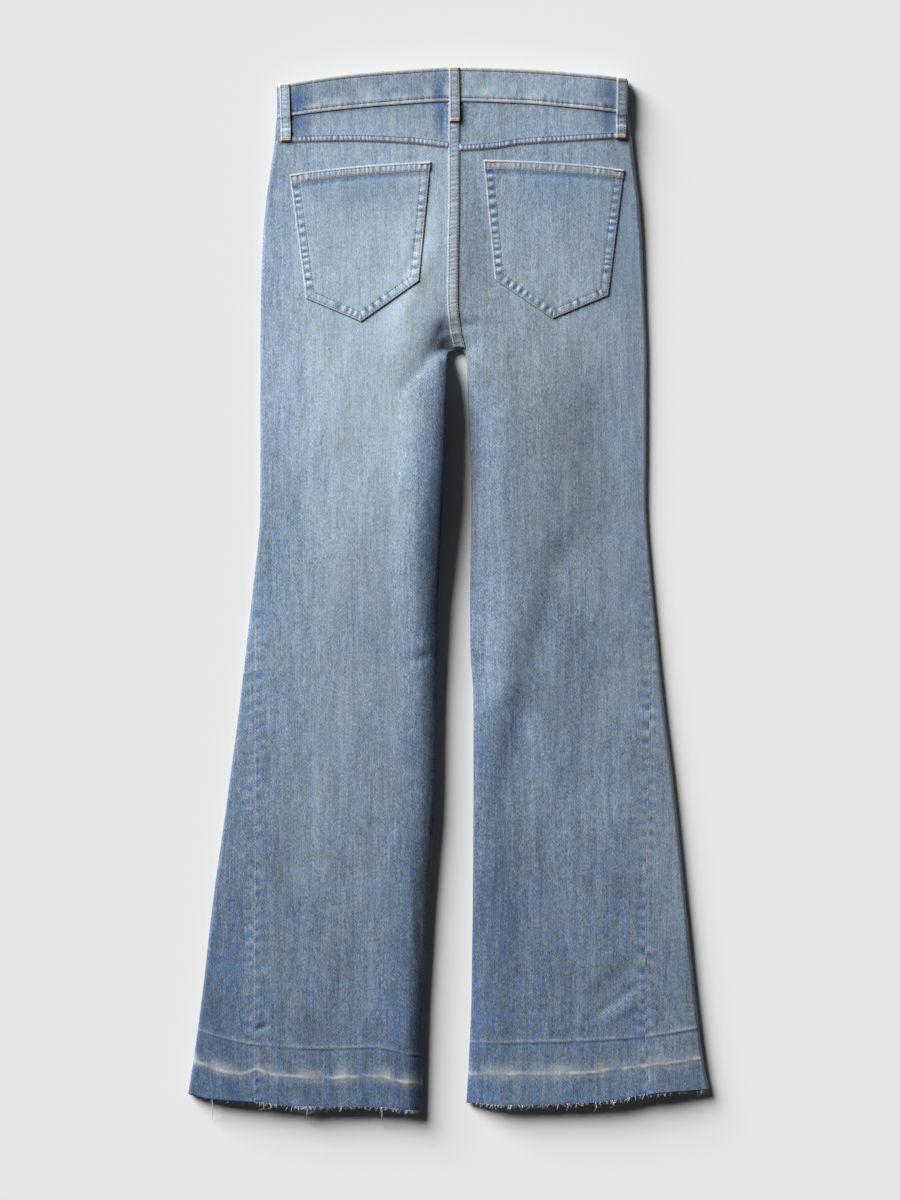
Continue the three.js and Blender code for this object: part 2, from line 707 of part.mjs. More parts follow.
// A belt loop: sewn at the waistband's top edge and below it, and arched clear of it between
function beltLoop({ topX, footX, foot, onLapFrom }) {
  const start = waistTop(topX) + 0.2;
  const seam = waistSeam(topX);
  const grid = evenly(11).map((share) => {
    const down = lerp(start, foot, share);
    const centre = onTop(lerp(topX, footX, share), down);
    const onBand = BAND_RAISE * (1 - smooth(down, seam, seam + 5));
    const onLap = (LAP_THICK + LAY_GAP) * smooth(down, onLapFrom - 4, onLapFrom);
    const lift = Math.max(onBand, onLap) + LAY_GAP + LOOP.arch * Math.sin(Math.PI * share) ** 0.8;
    const across = new THREE.Vector3(0, 1, 0).cross(centre.out).normalize();
    return [-0.5, 0.5].map((u) => ({
      at: centre.at.clone().addScaledVector(across, u * LOOP.width),
      out: centre.out.clone().multiplyScalar(lift),
    }));
  });
  const moved = (more) =>
    grid.map((row) =>
      row.map((p) => p.at.clone().addScaledVector(p.out, (p.out.length() + more) / p.out.length())),
    );
  return wall(moved(LOOP.thick), moved(0));
}

// The same sequence of numbers between 0 and 1 each time
function numbers(seed) {
  let state = seed;
  return () => {
    state = (state * 1103515245 + 12345) % 2147483648;
    return state / 2147483648;
  };
}

// A thin closed strand of three sides along a line of points, narrowing to its end
function strand(points, thickness) {
  const positions = [];
  const index = [];
  const last = points.length - 1;
  points.forEach((p, i) => {
    const from = points[Math.max(i - 1, 0)];
    const to = points[Math.min(i + 1, last)];
    const along = to.clone().sub(from).normalize();
    const across = new THREE.Vector3(0, 0, 1).cross(along).normalize();
    const up = along.clone().cross(across);
    const radius = (thickness / 2) * lerp(1, 0.6, i / last);
    for (let k = 0; k < 3; k++) {
      const angle = (2 * Math.PI * k) / 3;
      const q = p.clone().addScaledVector(across, radius * Math.cos(angle));
      q.addScaledVector(up, radius * Math.sin(angle));
      positions.push(q.x, q.y, q.z);
    }
  });
  for (let i = 0; i < last; i++)
    for (let k = 0; k < 3; k++) {
      const a = 3 * i + k;
      const b = 3 * i + ((k + 1) % 3);
      index.push(a, b, b + 3, a, b + 3, a + 3);
    }
  index.push(0, 2, 1, 3 * last, 3 * last + 1, 3 * last + 2);
  return facingOut(positions, index);
}

function solid(geometry) {
  const bare = geometry.clone();
  bare.deleteAttribute("normal");
  const merged = mergeVertices(bare, 1e-4);
  const vertProperties = new Float32Array(merged.attributes.position.array);
  const triVerts = new Uint32Array(merged.index.array);
  return new wasm.Manifold(new wasm.Mesh({ numProp: 3, vertProperties, triVerts }));
}

function geometryOf(manifold) {
  const { vertProperties, triVerts } = manifold.getMesh();
  const geometry = new THREE.BufferGeometry();
  geometry.setAttribute("position", new THREE.BufferAttribute(vertProperties, 3));
  geometry.setIndex(new THREE.BufferAttribute(triVerts, 1));
  geometry.computeVertexNormals();
  return geometry;
}

// The cut edge of a leg, along its upper layer and back along its lower one
function hemRing(side, drop, inset) {
  const around = [...backGrid(side).at(-1), ...frontGrid(side).at(-1).toReversed()];
  return around.map((p) => {
    const moved = p.at.clone().addScaledVector(p.out, -inset);
    return moved.setY(moved.y - drop);
  });
}

// The point with this x on the lower, level part of a ring
function onLower(ring, x) {
  const i = ring.findIndex((p, k) => k > 0 && p.z < CLOTH && (ring[k - 1].x - x) * (p.x - x) <= 0);
  const [a, b] = [ring[i - 1], ring[i]];
  return a.clone().lerp(b, (x - a.x) / (b.x - a.x));
}

// The frayed edge of a hem: a narrow strip all round, with its strands rooted in it
function fray(side, seed) {
  const inset = (CLOTH - FRAY.thick) / 2;
  const first = SEAM_GAP;
  const last = SEAM_GAP + FRAY.strip;
  const drops = [first, last];
  const outside = drops.map((drop) => hemRing(side, drop, inset));
  const inside = drops.map((drop) => hemRing(side, drop, inset + FRAY.thick));
  const band = solid(wall(outside, inside, true));
  const middle = hemRing(side, last, CLOTH / 2);
  const lengths = [0];
  for (let i = 0; i < middle.length; i++)
    lengths.push(lengths[i] + middle[i].distanceTo(middle[(i + 1) % middle.length]));
  const total = lengths[middle.length];
  const pointAt = (distance) => {
    const i = Math.max(0, lengths.findIndex((l) => l > distance) - 1);
    const t = (distance - lengths[i]) / (lengths[i + 1] - lengths[i]);
    return middle[i].clone().lerp(middle[(i + 1) % middle.length], t);
  };
  const random = numbers(seed);
  const strands = [];
  for (let i = 0; i < FRAY.strands; i++) {
    const root = pointAt((total * (i + 0.3 + 0.4 * random())) / FRAY.strands);
    const length = lerp(FRAY.short, FRAY.long, random() ** 1.6);
    const slant = 0.5 * (random() - 0.5);
    const droop = root.z > 3 ? 0.5 * (random() - 0.6) : 0.12 * random();
    const way = new THREE.Vector3(slant, -1, droop).normalize();
    const points = [root.clone().addScaledVector(way, -FRAY.root), root.clone().addScaledVector(way, length)];
    strands.push(solid(strand(points, FRAY.thickness)));
  }
  for (const thread of LOOSE_THREADS[side]) {
    const root = onLower(middle, thread.x);
    const points = [0, 0.3, 0.65, 1].map((share) => {
      const sway = thread.sway * Math.sin(share * 4);
      return new THREE.Vector3(root.x + sway, root.y - thread.length * share, root.z);
    });
    points.unshift(root.clone().setY(root.y + FRAY.root));
    strands.push(solid(strand(points, FRAY.looseThickness)));
  }
  return geometryOf(wasm.Manifold.union([band, ...strands]));
}

// The waist button, face down under the waistband: a dished disc with a raised rim
function button() {
  const { radius, thick, rim, dish, sides } = BUTTON;
  const profile = [
    new THREE.Vector2(0, dish),
    new THREE.Vector2(radius - 2 * rim, dish),
    new THREE.Vector2(radius - rim, 0),
    new THREE.Vector2(radius - rim / 3, 0.3),
    new THREE.Vector2(radius, rim),
    new THREE.Vector2(radius - 0.6, thick - 0.6),
    new THREE.Vector2(radius * 0.6, thick),
    new THREE.Vector2(0, thick),
  ];
  const disc = new THREE.LatheGeometry(profile, sides);
  disc.rotateX(Math.PI / 2);
  disc.deleteAttribute("uv");
  disc.deleteAttribute("normal");
  const merged = mergeVertices(disc, 1e-4);
  const geometry = facingOut(Array.from(merged.attributes.position.array), withoutSlivers(merged.index.array));
  geometry.translate(BUTTON.x, -BUTTON.down, 0);
  return geometry;
}

// The triangles of an index that use three different points
function withoutSlivers(index) {
  const kept = [];
  for (let i = 0; i < index.length; i += 3) {
    const [a, b, c] = [index[i], index[i + 1], index[i + 2]];
    if (a !== b && b !== c && a !== c) kept.push(a, b, c);
  }
  return kept;
}

for (const side of ["left", "right"]) {
  add(`back_${side}`, clothWall(backGrid(side), CLOTH), DENIM);
  add(`front_${side}`, clothWall(frontGrid(side), CLOTH), DENIM);
  add(`yoke_${side}`, yoke(side), DENIM);
  add(`yoke_lap_${side}`, yokeLap(side), TRIM);
  add(`pocket_${side}`, pocket(POCKETS[side]), DENIM);
  add(`waistband_front_${side}`, waistbandFront(side), BAND);
  add(`fray_${side}`, fray(side, side === "left" ? 11 : 29), YARN);
}
add("waistband_back", waistbandBack(), BAND);
add("seat_lap", seatLap(), TRIM);
for (const loop of LOOPS) add(loop.name, beltLoop(loop), BAND);
add("button", button(), METAL);

// The origin is on the ground, under the middle of the garment's box
const box = new THREE.Box3().setFromObject(garment);
const middle = box.getCenter(new THREE.Vector3());
garment.position.set(-middle.x, -middle.y, -box.min.z);

export default garment;
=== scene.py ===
# Looks of the flared jeans: fine cloth shells, seams, stitching, frayed hems and washed denim.
# Places on the garment are given in millimetres as x, from the centre back, and down, the
# distance below the waistband's highest point. The frame itself is in metres.
import math

import bpy
import numpy as np
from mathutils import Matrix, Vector


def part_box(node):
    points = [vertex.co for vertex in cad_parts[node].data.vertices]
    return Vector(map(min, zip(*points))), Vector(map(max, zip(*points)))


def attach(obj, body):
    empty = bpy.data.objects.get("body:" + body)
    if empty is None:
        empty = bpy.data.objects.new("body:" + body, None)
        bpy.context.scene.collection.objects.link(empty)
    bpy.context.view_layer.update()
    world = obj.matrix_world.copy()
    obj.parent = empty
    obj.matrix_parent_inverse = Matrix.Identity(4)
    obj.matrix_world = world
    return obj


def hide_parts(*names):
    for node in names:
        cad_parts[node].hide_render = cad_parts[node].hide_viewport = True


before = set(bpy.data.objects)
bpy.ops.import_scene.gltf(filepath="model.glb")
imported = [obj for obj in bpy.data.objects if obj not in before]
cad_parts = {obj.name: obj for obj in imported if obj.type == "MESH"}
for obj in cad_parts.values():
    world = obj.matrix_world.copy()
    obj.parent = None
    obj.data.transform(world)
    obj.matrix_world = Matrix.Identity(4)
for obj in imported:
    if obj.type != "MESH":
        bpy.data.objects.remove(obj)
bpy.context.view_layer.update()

MM = 0.001


def table(columns, rows):
    """Rows under named columns, as an array for each column."""
    return {name: np.array([row[i] for row in rows], float) for i, name in enumerate(columns.split())}


# Driving sizes, as the solids have them
CLOTH = 1.2
BAND_CLOTH = 2.4
SEAM_GAP = 0.08
LAY_GAP = 0.3
FOLD_LEVEL = 3.0
UNDER_ROLL = 8.0
BAND_RAISE = 1.0
YOKE_NOMINAL = 84.6
FRONT_NOMINAL = 68.5
HEM_NOMINAL = 1104.0
CROTCH = 299.0
SEAM_IN = 1.3
SEAT_LAP_WIDTH = 11.6
YOKE_LAP_WIDTH = 8.0
LAP_THICK = 1.0
LAP_SHORT = 2.0
POCKET_THICK = 1.15
POCKET_HEM_HEIGHT = 9.5
POCKET_HEM_RAISE = 0.5
LOOP_WIDTH = 10.8
LOOP_THICK = 1.2
LOOP_ARCH = 0.6
BUTTON_X = 4.0
BUTTON_DOWN = 51.0
BUTTON_LIFT = 3.3
OVERLAP = 22.0
EDGE_ROLL = 4.0
INSIDE_RIGHT_SHARE = 0.16
INSIDE_RIGHT_SLOPE = 45.0
INSIDE_RIGHT_TO = 380
INSIDE_LEFT_SHARE = 0.15
HOLLOW_X = 0.0
HOLLOW_WIDE = 15.0
HOLLOW_SHARE = 0.25
HOLLOW_SLOPE = 17.0
HOLLOW_FROM = 302
HOLLOW_TO = 340
RISE_REACH_START = 18.0
RISE_REACH = 56.0
RISE_REACH_AT = 355
RISE_KEPT = 0.7
ROPE_FROM = 470
ROPE_TO = 620
BAND_STITCH_TOP = 3.8
BAND_STITCH_FOOT = 4.6
LAP_STITCH = 0.72
POCKET_STITCHES = (2.4, 9.2)
POCKET_HEM_STITCHES = (2.2, 8.0)
POCKET_BOW = 0.012
LOOP_STITCH = 0.62
THREAD_SINK = 0.1
THREAD_RADIUS = 0.27
SEAM_THREAD_RADIUS = 0.15
TACK_RADIUS = 0.3
SEAM_GROOVE = 0.05
SIDES = {"left": -1, "right": 1}

OUTLINE = table("down left right", [
    (-5, -186.8, 184.4), (50, -189, 186), (77, -190.8, 189.2), (104, -194.5, 191.9),
    (141, -199.8, 196.6), (183, -203.5, 199.8), (247, -205.6, 202.5), (310, -206.2, 204.6),
    (385, -206.2, 204.6), (459, -206.2, 204), (485, -206.9, 205.1), (507, -208.8, 206.7),
    (565, -215.2, 212), (671, -227.4, 222.6), (777, -241.2, 235.3), (883, -256, 246),
    (989, -268.2, 257), (1052, -276.7, 265), (1112, -286.3, 277),
])
INSIDE_LEG = table("down left right", [
    (299, 6.4, 6.4), (300, -0.5, 9.4), (301, -4, 10.8), (305, -6.8, 12.4),
    (311, -7.2, 13.4), (332, -7.4, 14.3),
    (374, -9, 15.4), (459, -12.2, 18.6), (565, -16.4, 17), (618, -17, 17.5), (671, -18, 20.7),
    (777, -19.6, 20.7), (830, -23.3, 20.4), (883, -27, 20.1), (936, -29.7, 19.3),
    (989, -32.3, 18.6), (1042, -33.4, 16.4), (1112, -33.4, 12.5),
])
THICKNESS = table("down height share slope inner", [
    (-5, 15, 0.52, 45, 24), (60, 15, 0.46, 55, 26), (150, 15.5, 0.32, 75, 28), (230, 16, 0.18, 88, 28),
    (300, 16, 0.13, 92, 28), (450, 16, 0.13, 92, 26), (650, 15.5, 0.2, 84, 22), (900, 15, 0.36, 74, 20),
    (1112, 14.5, 0.42, 66, 17),
])
INNER_RISE = table("down rise", [
    (299, 0), (304, 5), (310, 10.5), (325, 16), (360, 21), (420, 22), (500, 16.5), (565, 11),
    (671, 6.8), (777, 6.4), (883, 5), (1000, 3.6), (1112, 1),
])
SIDE_SEAM = table("down left right", [
    (0, -211.5, 209.9), (650, -211.5, 209.9), (764, -211.5, 207.2), (873, -211.8, 205.3),
    (983, -212.4, 204.3), (1112, -212, 206.8),
])
SEAT_SEAM = table("down x", [(30, 0), (141, 0), (194, -1), (247, -1.4), (279, 1.8), (299, 6.4)])
WAIST_TOP = table("x down", [
    (-190, 18.8), (-163, 14.8), (-108, 7.4), (-57, 3.2), (0, 0), (70, 1.8), (128, 5.8), (190, 11.7),
])
WAIST_SEAM = table("x down", [
    (-190, 53.5), (-108, 44.1), (-57, 39.8), (0, 36.7), (70, 38.7), (123, 43), (190, 49.5),
])
YOKE_SEAM = table("x down", [
    (-190, 76.9), (-108, 75.6), (-48, 77.9), (-7, 82.6), (8, 85.6), (41, 83.4), (71, 79),
    (130, 75.3), (190, 71),
])
FRONT_TOP = table("x down", [(-190, 18.8), (-100, 26), (0, 32), (100, 24), (190, 11.7)])
FRONT_SEAM = table("x down", [(-190, 53.5), (-100, 62), (0, 68.5), (100, 60), (190, 49.5)])
HEM = table("x down", [
    (-286, 1089.7), (-255, 1095), (-213, 1098), (-167, 1103), (-79, 1104), (-34, 1107.7),
    (12, 1099.8), (51, 1101.9), (142, 1099.2), (178, 1095.5), (206, 1089.5), (276, 1084.9),
])
# The pressed line of an old hem, and the worn white line of its fold
HEM_LINE = table("x down", [
    (-282, 1019), (-211, 1035.6), (-141, 1040), (-83, 1038.8), (-37, 1047.3),
    (12, 1034.6), (51, 1034), (123, 1032.4), (196, 1028.2), (259, 1019.7),
])
HEM_FOLD = table("x down", [
    (-282, 1054), (-224, 1067.4), (-211, 1063.2), (-192, 1068.5), (-133, 1071.7), (-83, 1070.6),
    (-36, 1078), (12, 1068.5), (51, 1067.4), (123, 1067.4), (202, 1059), (264, 1052.6),
])

# The largest folds, as the solids have them: troughs, or ridges where depth is negative
FOLDS = table("x down to_x to_down width depth", [
    (128, 480, 74, 660, 20, 3), (74, 640, 36, 850, 18, 3.2), (38, 830, 32, 1030, 15, 2.2),
    (96, 520, 44, 700, 24, -2), (20, 130, 36, 330, 24, 1.3), (-14, 150, -70, 360, 24, -1.2),
    (-60, 560, -48, 860, 22, 1.6), (-150, 700, -178, 960, 24, 1.4), (138, 1000, 196, 945, 12, 1.6),
    (-196, 290, -110, 430, 26, -1.2), (150, 300, 176, 560, 24, 1.4),
    (1, 258, 4, 340, 15, 3.5),
])
# Smaller creases that only the fine shells have
CREASES = table("x down to_x to_down width depth", [
    (-16, 176, -64, 285, 8, -0.8), (-30, 168, -58, 235, 5, 0.5), (-8, 268, -26, 306, 3.5, 0.9),
    (-6, 285, -30, 330, 4, 0.8), (-12, 300, -44, 352, 6, -0.6), (8, 270, 26, 277, 2.6, 1.3),
    (10, 264, 44, 262, 5, -0.5), (-19, 622, -58, 633, 5, 1.2), (-17, 612, -50, 618, 7, -0.8),
    (20, 626, 62, 640, 6, 0.8), (18, 700, 66, 676, 9, 0.7), (-40, 858, -33, 958, 4, 0.8),
    (-190, 690, -172, 900, 12, 0.5), (140, 1012, 206, 966, 5, 1.2), (156, 1016, 204, 986, 5, -0.8),
    (-24, 320, -10, 268, 12, 1.6),
    (-150, 56, -158, 74, 4, 0.4), (-10, 44, -13, 74, 3, 0.6), (9, 40, 12, 70, 4, 0.5),
    (-206, 1050, -186, 1080, 3, 1.3), (-198, 1038, -170, 1070, 3.5, -1.1), (-186, 1040, -158, 1074, 3, 1.2),
    (-172, 1034, -138, 1064, 4, -1.0), (-228, 1056, -212, 1080, 3, 1.2), (-212, 1022, -192, 1014, 3, 1.4),
    (60, 380, 40, 520, 14, -0.8),
    (160, 620, 120, 820, 18, 0.7), (90, 860, 120, 1010, 16, -0.6), (-110, 460, -130, 640, 20, -0.6),
    (-90, 880, -110, 1020, 16, 0.5), (36, 150, 60, 96, 5, 0.4), (28, 110, 44, 150, 5, -0.4),
])

# Back pockets: corners of each patch
POCKETS = {
    "left": ((-174.4, 113.7), (-24.4, 100.5), (-156.9, 245.3), (-98.2, 270.3), (-37, 227.3)),
    "right": ((31.2, 98.6), (181, 108.4), (43.5, 225.4), (104.8, 267.1), (164, 242.1)),
}
# Belt loops: x at the top and at the foot, down at the foot, and down where the lap under it starts
LOOPS = {
    "loop_left": (-179.6, -177.8, 78.5, 68),
    "loop_centre": (0, 0.8, 58.5, 36),
    "loop_right": (177.8, 176.8, 75.5, 64),
}


def curve(rows, at, key):
    """Smooth reading of a table that never overshoots its rows."""
    x, y = rows[at], rows[key]
    step = np.diff(y) / np.diff(x)
    slope = np.concatenate([step[:1], step[:-1], step[-1:]])
    rising = step[:-1] * step[1:] > 0
    total = np.where(rising, step[:-1] + step[1:], 1)
    slope[1:-1] = np.where(rising, 2 * step[:-1] * step[1:] / total, 0)

    def read(value):
        value = np.asarray(value, float)
        i = np.clip(np.searchsorted(x, value, side="right") - 1, 0, len(x) - 2)
        span = x[i + 1] - x[i]
        beyond = (value - x[i]) / span
        t = np.clip(beyond, 0, 1)
        rise = t * t * (3 - 2 * t)
        inside = y[i] * (1 - rise) + y[i + 1] * rise
        inside += span * t * (1 - t) * ((1 - t) * slope[i] - t * slope[i + 1])
        return inside + (beyond - t) * span * np.where(beyond < 0, slope[0], slope[-1])

    return read


outer = {side: curve(OUTLINE, "down", side) for side in SIDES}
inner = {side: curve(INSIDE_LEG, "down", side) for side in SIDES}
seam_on_back = {side: curve(SIDE_SEAM, "down", side) for side in SIDES}
height = curve(THICKNESS, "down", "height")
outer_share = curve(THICKNESS, "down", "share")
outer_slope = curve(THICKNESS, "down", "slope")
inner_roll = curve(THICKNESS, "down", "inner")
inner_rise = curve(INNER_RISE, "down", "rise")
seat_seam = curve(SEAT_SEAM, "down", "x")
waist_top = curve(WAIST_TOP, "x", "down")
waist_seam = curve(WAIST_SEAM, "x", "down")
yoke_seam = curve(YOKE_SEAM, "x", "down")
front_top = curve(FRONT_TOP, "x", "down")
front_seam = curve(FRONT_SEAM, "x", "down")
hem = curve(HEM, "x", "down")
hem_line = curve(HEM_LINE, "x", "down")
hem_fold = curve(HEM_FOLD, "x", "down")


def mix(a, b, share):
    return a + (b - a) * share


def smooth(value, low, high):
    t = np.clip((value - low) / (high - low), 0, 1)
    return t * t * (3 - 2 * t)


def bell(value, width):
    return np.exp(-((value / width) ** 2))


def rounded(share):
    """0 at a folded edge and 1 where the cloth lies level: a quarter ellipse."""
    return np.sqrt(1 - (1 - np.clip(share, 0, 1)) ** 2)


def noise_line(s, scale, seed):
    """Smooth uneven values between -1 and 1 along a line."""
    knots = np.random.default_rng(seed).uniform(-1, 1, 512)
    at = np.asarray(s, float) / scale
    i = np.floor(at).astype(int)
    return mix(knots[i % 512], knots[(i + 1) % 512], smooth(at - i, 0, 1))


def noise_plane(x, down, scale_x, scale_down, seed):
    """Smooth uneven values between -1 and 1 over the garment."""
    knots = np.random.default_rng(seed).uniform(-1, 1, (64, 64))
    u, v = x / scale_x + 31, down / scale_down + 7
    i, j = np.floor(u).astype(int), np.floor(v).astype(int)
    a, b = smooth(u - i, 0, 1), smooth(v - j, 0, 1)
    near = mix(knots[i % 64, j % 64], knots[(i + 1) % 64, j % 64], a)
    far = mix(knots[i % 64, (j + 1) % 64], knots[(i + 1) % 64, (j + 1) % 64], a)
    return mix(near, far, b)


def uneven_wave(s, length, seed):
    """A wave of about this length whose spacing and height wander, between -1 and 1."""
    turn = 2 * math.pi * (s / length + 0.55 * noise_line(s, 2.3 * length, seed))
    return np.sin(turn) * (0.6 + 0.55 * noise_line(s, 1.7 * length, seed + 1))


def side_seam(side, down):
    """x of a side seam: on the back where it shows, or else just inside the outer fold."""
    way = SIDES[side]
    edge = outer[side](down) - way * SEAM_IN
    return way * np.minimum(way * edge, way * seam_on_back[side](down))


def leg_gap():
    """The edge of the opening between the legs, from one hem round to the other."""
    down = np.concatenate([np.arange(CROTCH, 315, 1.0), np.arange(315, 1120, 6.0)])
    left = np.stack([inner["left"](down), down], axis=1)[::-1]
    right = np.stack([inner["right"](down), down], axis=1)[1:]
    return np.concatenate([left, right])


LEG_GAP = leg_gap()
FAR = 60.0


def line_distance(x, down, line):
    """How far places are from a line of points, and how far along it the nearest point is."""
    best = np.full(np.shape(x), np.inf)
    along = np.zeros(np.shape(x))
    start = 0.0
    for a, b in zip(line[:-1], line[1:]):
        d = b - a
        length = math.hypot(*d)
        t = np.clip(((x - a[0]) * d[0] + (down - a[1]) * d[1]) / length**2, 0, 1)
        away = np.hypot(x - a[0] - t * d[0], down - a[1] - t * d[1])
        nearer = away < best
        best = np.where(nearer, away, best)
        along = np.where(nearer, start + t * length, along)
        start += length
    return best, along


def edge_distance(x, down):
    """How far places are from the outer fold of their side."""
    is_left = x < seat_seam(np.minimum(down, CROTCH))
    result = np.zeros(np.shape(x))
    for side, way in SIDES.items():
        slope = (outer[side](down + 1) - outer[side](down - 1)) / 2
        away = np.maximum(0, way * (outer[side](down) - x)) / np.hypot(1, slope)
        result = np.where(is_left == (side == "left"), away, result)
    return result


def fold_depth(x, down, rows):
    """Depth of all folds of a table at a place."""
    total = np.zeros(np.shape(x))
    for fx, fd, tx, td, width, depth in zip(*rows.values()):
        length = math.hypot(tx - fx, td - fd)
        ax, ad = (tx - fx) / length, (td - fd) / length
        along = (x - fx) * ax + (down - fd) * ad
        across = (x - fx) * ad - (down - fd) * ax
        ends = smooth(along, 0, length * 0.3) * (1 - smooth(along, length * 0.7, length))
        total = total + depth * ends * bell(across, width)
    return total


def gap_distance(x, down):
    """How far places are from the opening between the legs, up to FAR."""
    near = (down > CROTCH - FAR) & (x > inner["left"](np.maximum(down, CROTCH)) - FAR)
    near &= x < inner["right"](np.maximum(down, CROTCH)) + FAR
    gap = np.full(np.shape(x), FAR)
    if near.any():
        gap[near] = line_distance(x[near], down[near], LEG_GAP)[0]
    return gap


def rise_reach(down):
    """How far in the cloth is raised beside the left leg's inner fold."""
    return mix(RISE_REACH_START, RISE_REACH, smooth(down, CROTCH, RISE_REACH_AT))


def rise_at(x, down, gap):
    """How much a place is raised by the left leg's inner fold, which stands clear of the ground."""
    on_left_leg = (down > CROTCH) & (x <= seat_seam(CROTCH))
    return np.where(on_left_leg, inner_rise(down) * (1 - smooth(gap, 0, rise_reach(down))), 0)


def relief(x, down):
    """Small creases and unevenness of the upper layer."""
    soft = 0.55 * noise_plane(x, down, 46, 95, 3) + 0.2 * noise_plane(x, down, 15, 34, 5)
    soft = soft * smooth(down, 60, 180)
    return soft - fold_depth(x, down, CREASES)


def low_fold(away, share, slope):
    """How far up the upper layer has come beside a low fold: a small roll, then a long slope."""
    along = np.clip(away / slope, 0, 1)
    return mix(1 - (1 - along) ** 2, rounded(away / EDGE_ROLL), share)


def inside_fold(x, down, gap):
    """How far up it has come beside the opening between the legs."""
    low = smooth(down, CROTCH, INSIDE_RIGHT_TO)
    in_hollow = bell(x - HOLLOW_X, HOLLOW_WIDE) * (1 - smooth(down, HOLLOW_FROM, HOLLOW_TO))
    straight = mix(np.clip(gap / HOLLOW_SLOPE, 0, 1), rounded(gap / EDGE_ROLL), HOLLOW_SHARE)
    rolled = mix(rounded(gap / inner_roll(down)), straight, in_hollow)
    right_leg = low_fold(gap, INSIDE_RIGHT_SHARE, INSIDE_RIGHT_SLOPE)
    left_leg = low_fold(gap, INSIDE_LEFT_SHARE, inner_roll(down))
    return mix(rolled, np.where(x > seat_seam(CROTCH), right_leg, left_leg), low)


def top_level(x, down):
    x, down = np.broadcast_arrays(np.asarray(x, float), np.asarray(down, float))
    gap = gap_distance(x, down)
    level = low_fold(edge_distance(x, down), outer_share(down), outer_slope(down))
    level = level * inside_fold(x, down, gap)
    rise = rise_at(x, down, gap)
    over = height(down) - FOLD_LEVEL - fold_depth(x, down, FOLDS) + relief(x, down)
    return FOLD_LEVEL + rise + level * (over - (1 - RISE_KEPT) * rise)


def under_level(x, down):
    x, down = np.broadcast_arrays(np.asarray(x, float), np.asarray(down, float))
    gap = gap_distance(x, down)
    level = rounded(edge_distance(x, down) / UNDER_ROLL) * rounded(gap / UNDER_ROLL)
    lift = BUTTON_LIFT * bell(x - BUTTON_X, 38) * (1 - smooth(down, 80, 150))
    return (FOLD_LEVEL + rise_at(x, down, gap)) * (1 - level) + lift


def fold_level(x, down):
    """Height of the inner fold of a leg."""
    return FOLD_LEVEL + rise_at(x, down, np.zeros(np.shape(x)))


def points_at(x, down, z):
    return np.stack(np.broadcast_arrays(x, -np.asarray(down, float), z), axis=-1)


def grid_normals(points, sign):
    """Directions out of the cloth over a grid of points."""
    across = np.gradient(points, axis=1)
    along = np.gradient(points, axis=0)
    normal = np.cross(across, along) * sign
    return normal / np.maximum(np.linalg.norm(normal, axis=2, keepdims=True), 1e-9)


# The button's box gives the way from places on the garment to the frame
button_low, button_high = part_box("button")
ORIGIN = np.array([
    (button_low.x + button_high.x) / 2 - BUTTON_X * MM,
    (button_low.y + button_high.y) / 2 + BUTTON_DOWN * MM,
    0.0,
])


def to_frame(points):
    return points * MM + ORIGIN


def new_object(name, points, faces, wash_and_shade=None):
    """A mesh object from points in millimetres on the garment and faces of four or more corners."""
    mesh = bpy.data.meshes.new(name)
    flat = to_frame(points.reshape(-1, 3)).astype(np.float32)
    mesh.vertices.add(len(flat))
    mesh.vertices.foreach_set("co", flat.ravel())
    sizes = np.array([len(face) for face in faces], np.int32)
    corners = np.concatenate([np.asarray(face, np.int32).ravel() for face in faces])
    counts = np.repeat([face.shape[1] for face in faces], sizes).astype(np.int32)
    mesh.loops.add(len(corners))
    mesh.loops.foreach_set("vertex_index", corners)
    mesh.polygons.add(len(counts))
    mesh.polygons.foreach_set("loop_start", np.concatenate([[0], np.cumsum(counts)[:-1]]).astype(np.int32))
    mesh.polygons.foreach_set("use_smooth", np.ones(len(counts), bool))
    mesh.update(calc_edges=True)
    mesh.validate()
    if wash_and_shade is not None:
        layer = mesh.attributes.new("wash_and_shade", "FLOAT_COLOR", "POINT")
        colour = np.concatenate([wash_and_shade.reshape(-1, 3), np.ones((wash_and_shade.size // 3, 1))], axis=1)
        layer.data.foreach_set("color", colour.astype(np.float32).ravel())
    made = bpy.data.objects.new(name, mesh)
    bpy.context.scene.collection.objects.link(made)
    return made


def shell(name, points, thick, sign, wash_and_shade):
    """A closed cloth shell whose outside is a grid of points."""
    rows, columns = points.shape[:2]
    inside = points - grid_normals(points, sign) * np.asarray(thick)[..., None]
    ids = np.arange(rows * columns).reshape(rows, columns)
    far = ids + rows * columns
    quads = np.stack([ids[:-1, :-1], ids[1:, :-1], ids[1:, 1:], ids[:-1, 1:]], axis=-1).reshape(-1, 4)
    back = quads[:, ::-1] + rows * columns
    rim = [
        np.stack([ids[0, :-1], ids[0, 1:], far[0, 1:], far[0, :-1]], axis=-1),
        np.stack([ids[-1, 1:], ids[-1, :-1], far[-1, :-1], far[-1, 1:]], axis=-1),
        np.stack([ids[1:, 0], ids[:-1, 0], far[:-1, 0], far[1:, 0]], axis=-1),
        np.stack([ids[:-1, -1], ids[1:, -1], far[1:, -1], far[:-1, -1]], axis=-1),
    ]
    faces = np.concatenate([quads, back, *rim])
    if sign > 0:
        faces = faces[:, ::-1]
    reverse = wash_and_shade.copy()
    reverse[..., 0] += 0.28
    both = np.concatenate([points.reshape(-1, 3), inside.reshape(-1, 3)])
    return new_object(name, both, [faces], np.concatenate([wash_and_shade.reshape(-1, 3), reverse.reshape(-1, 3)]))


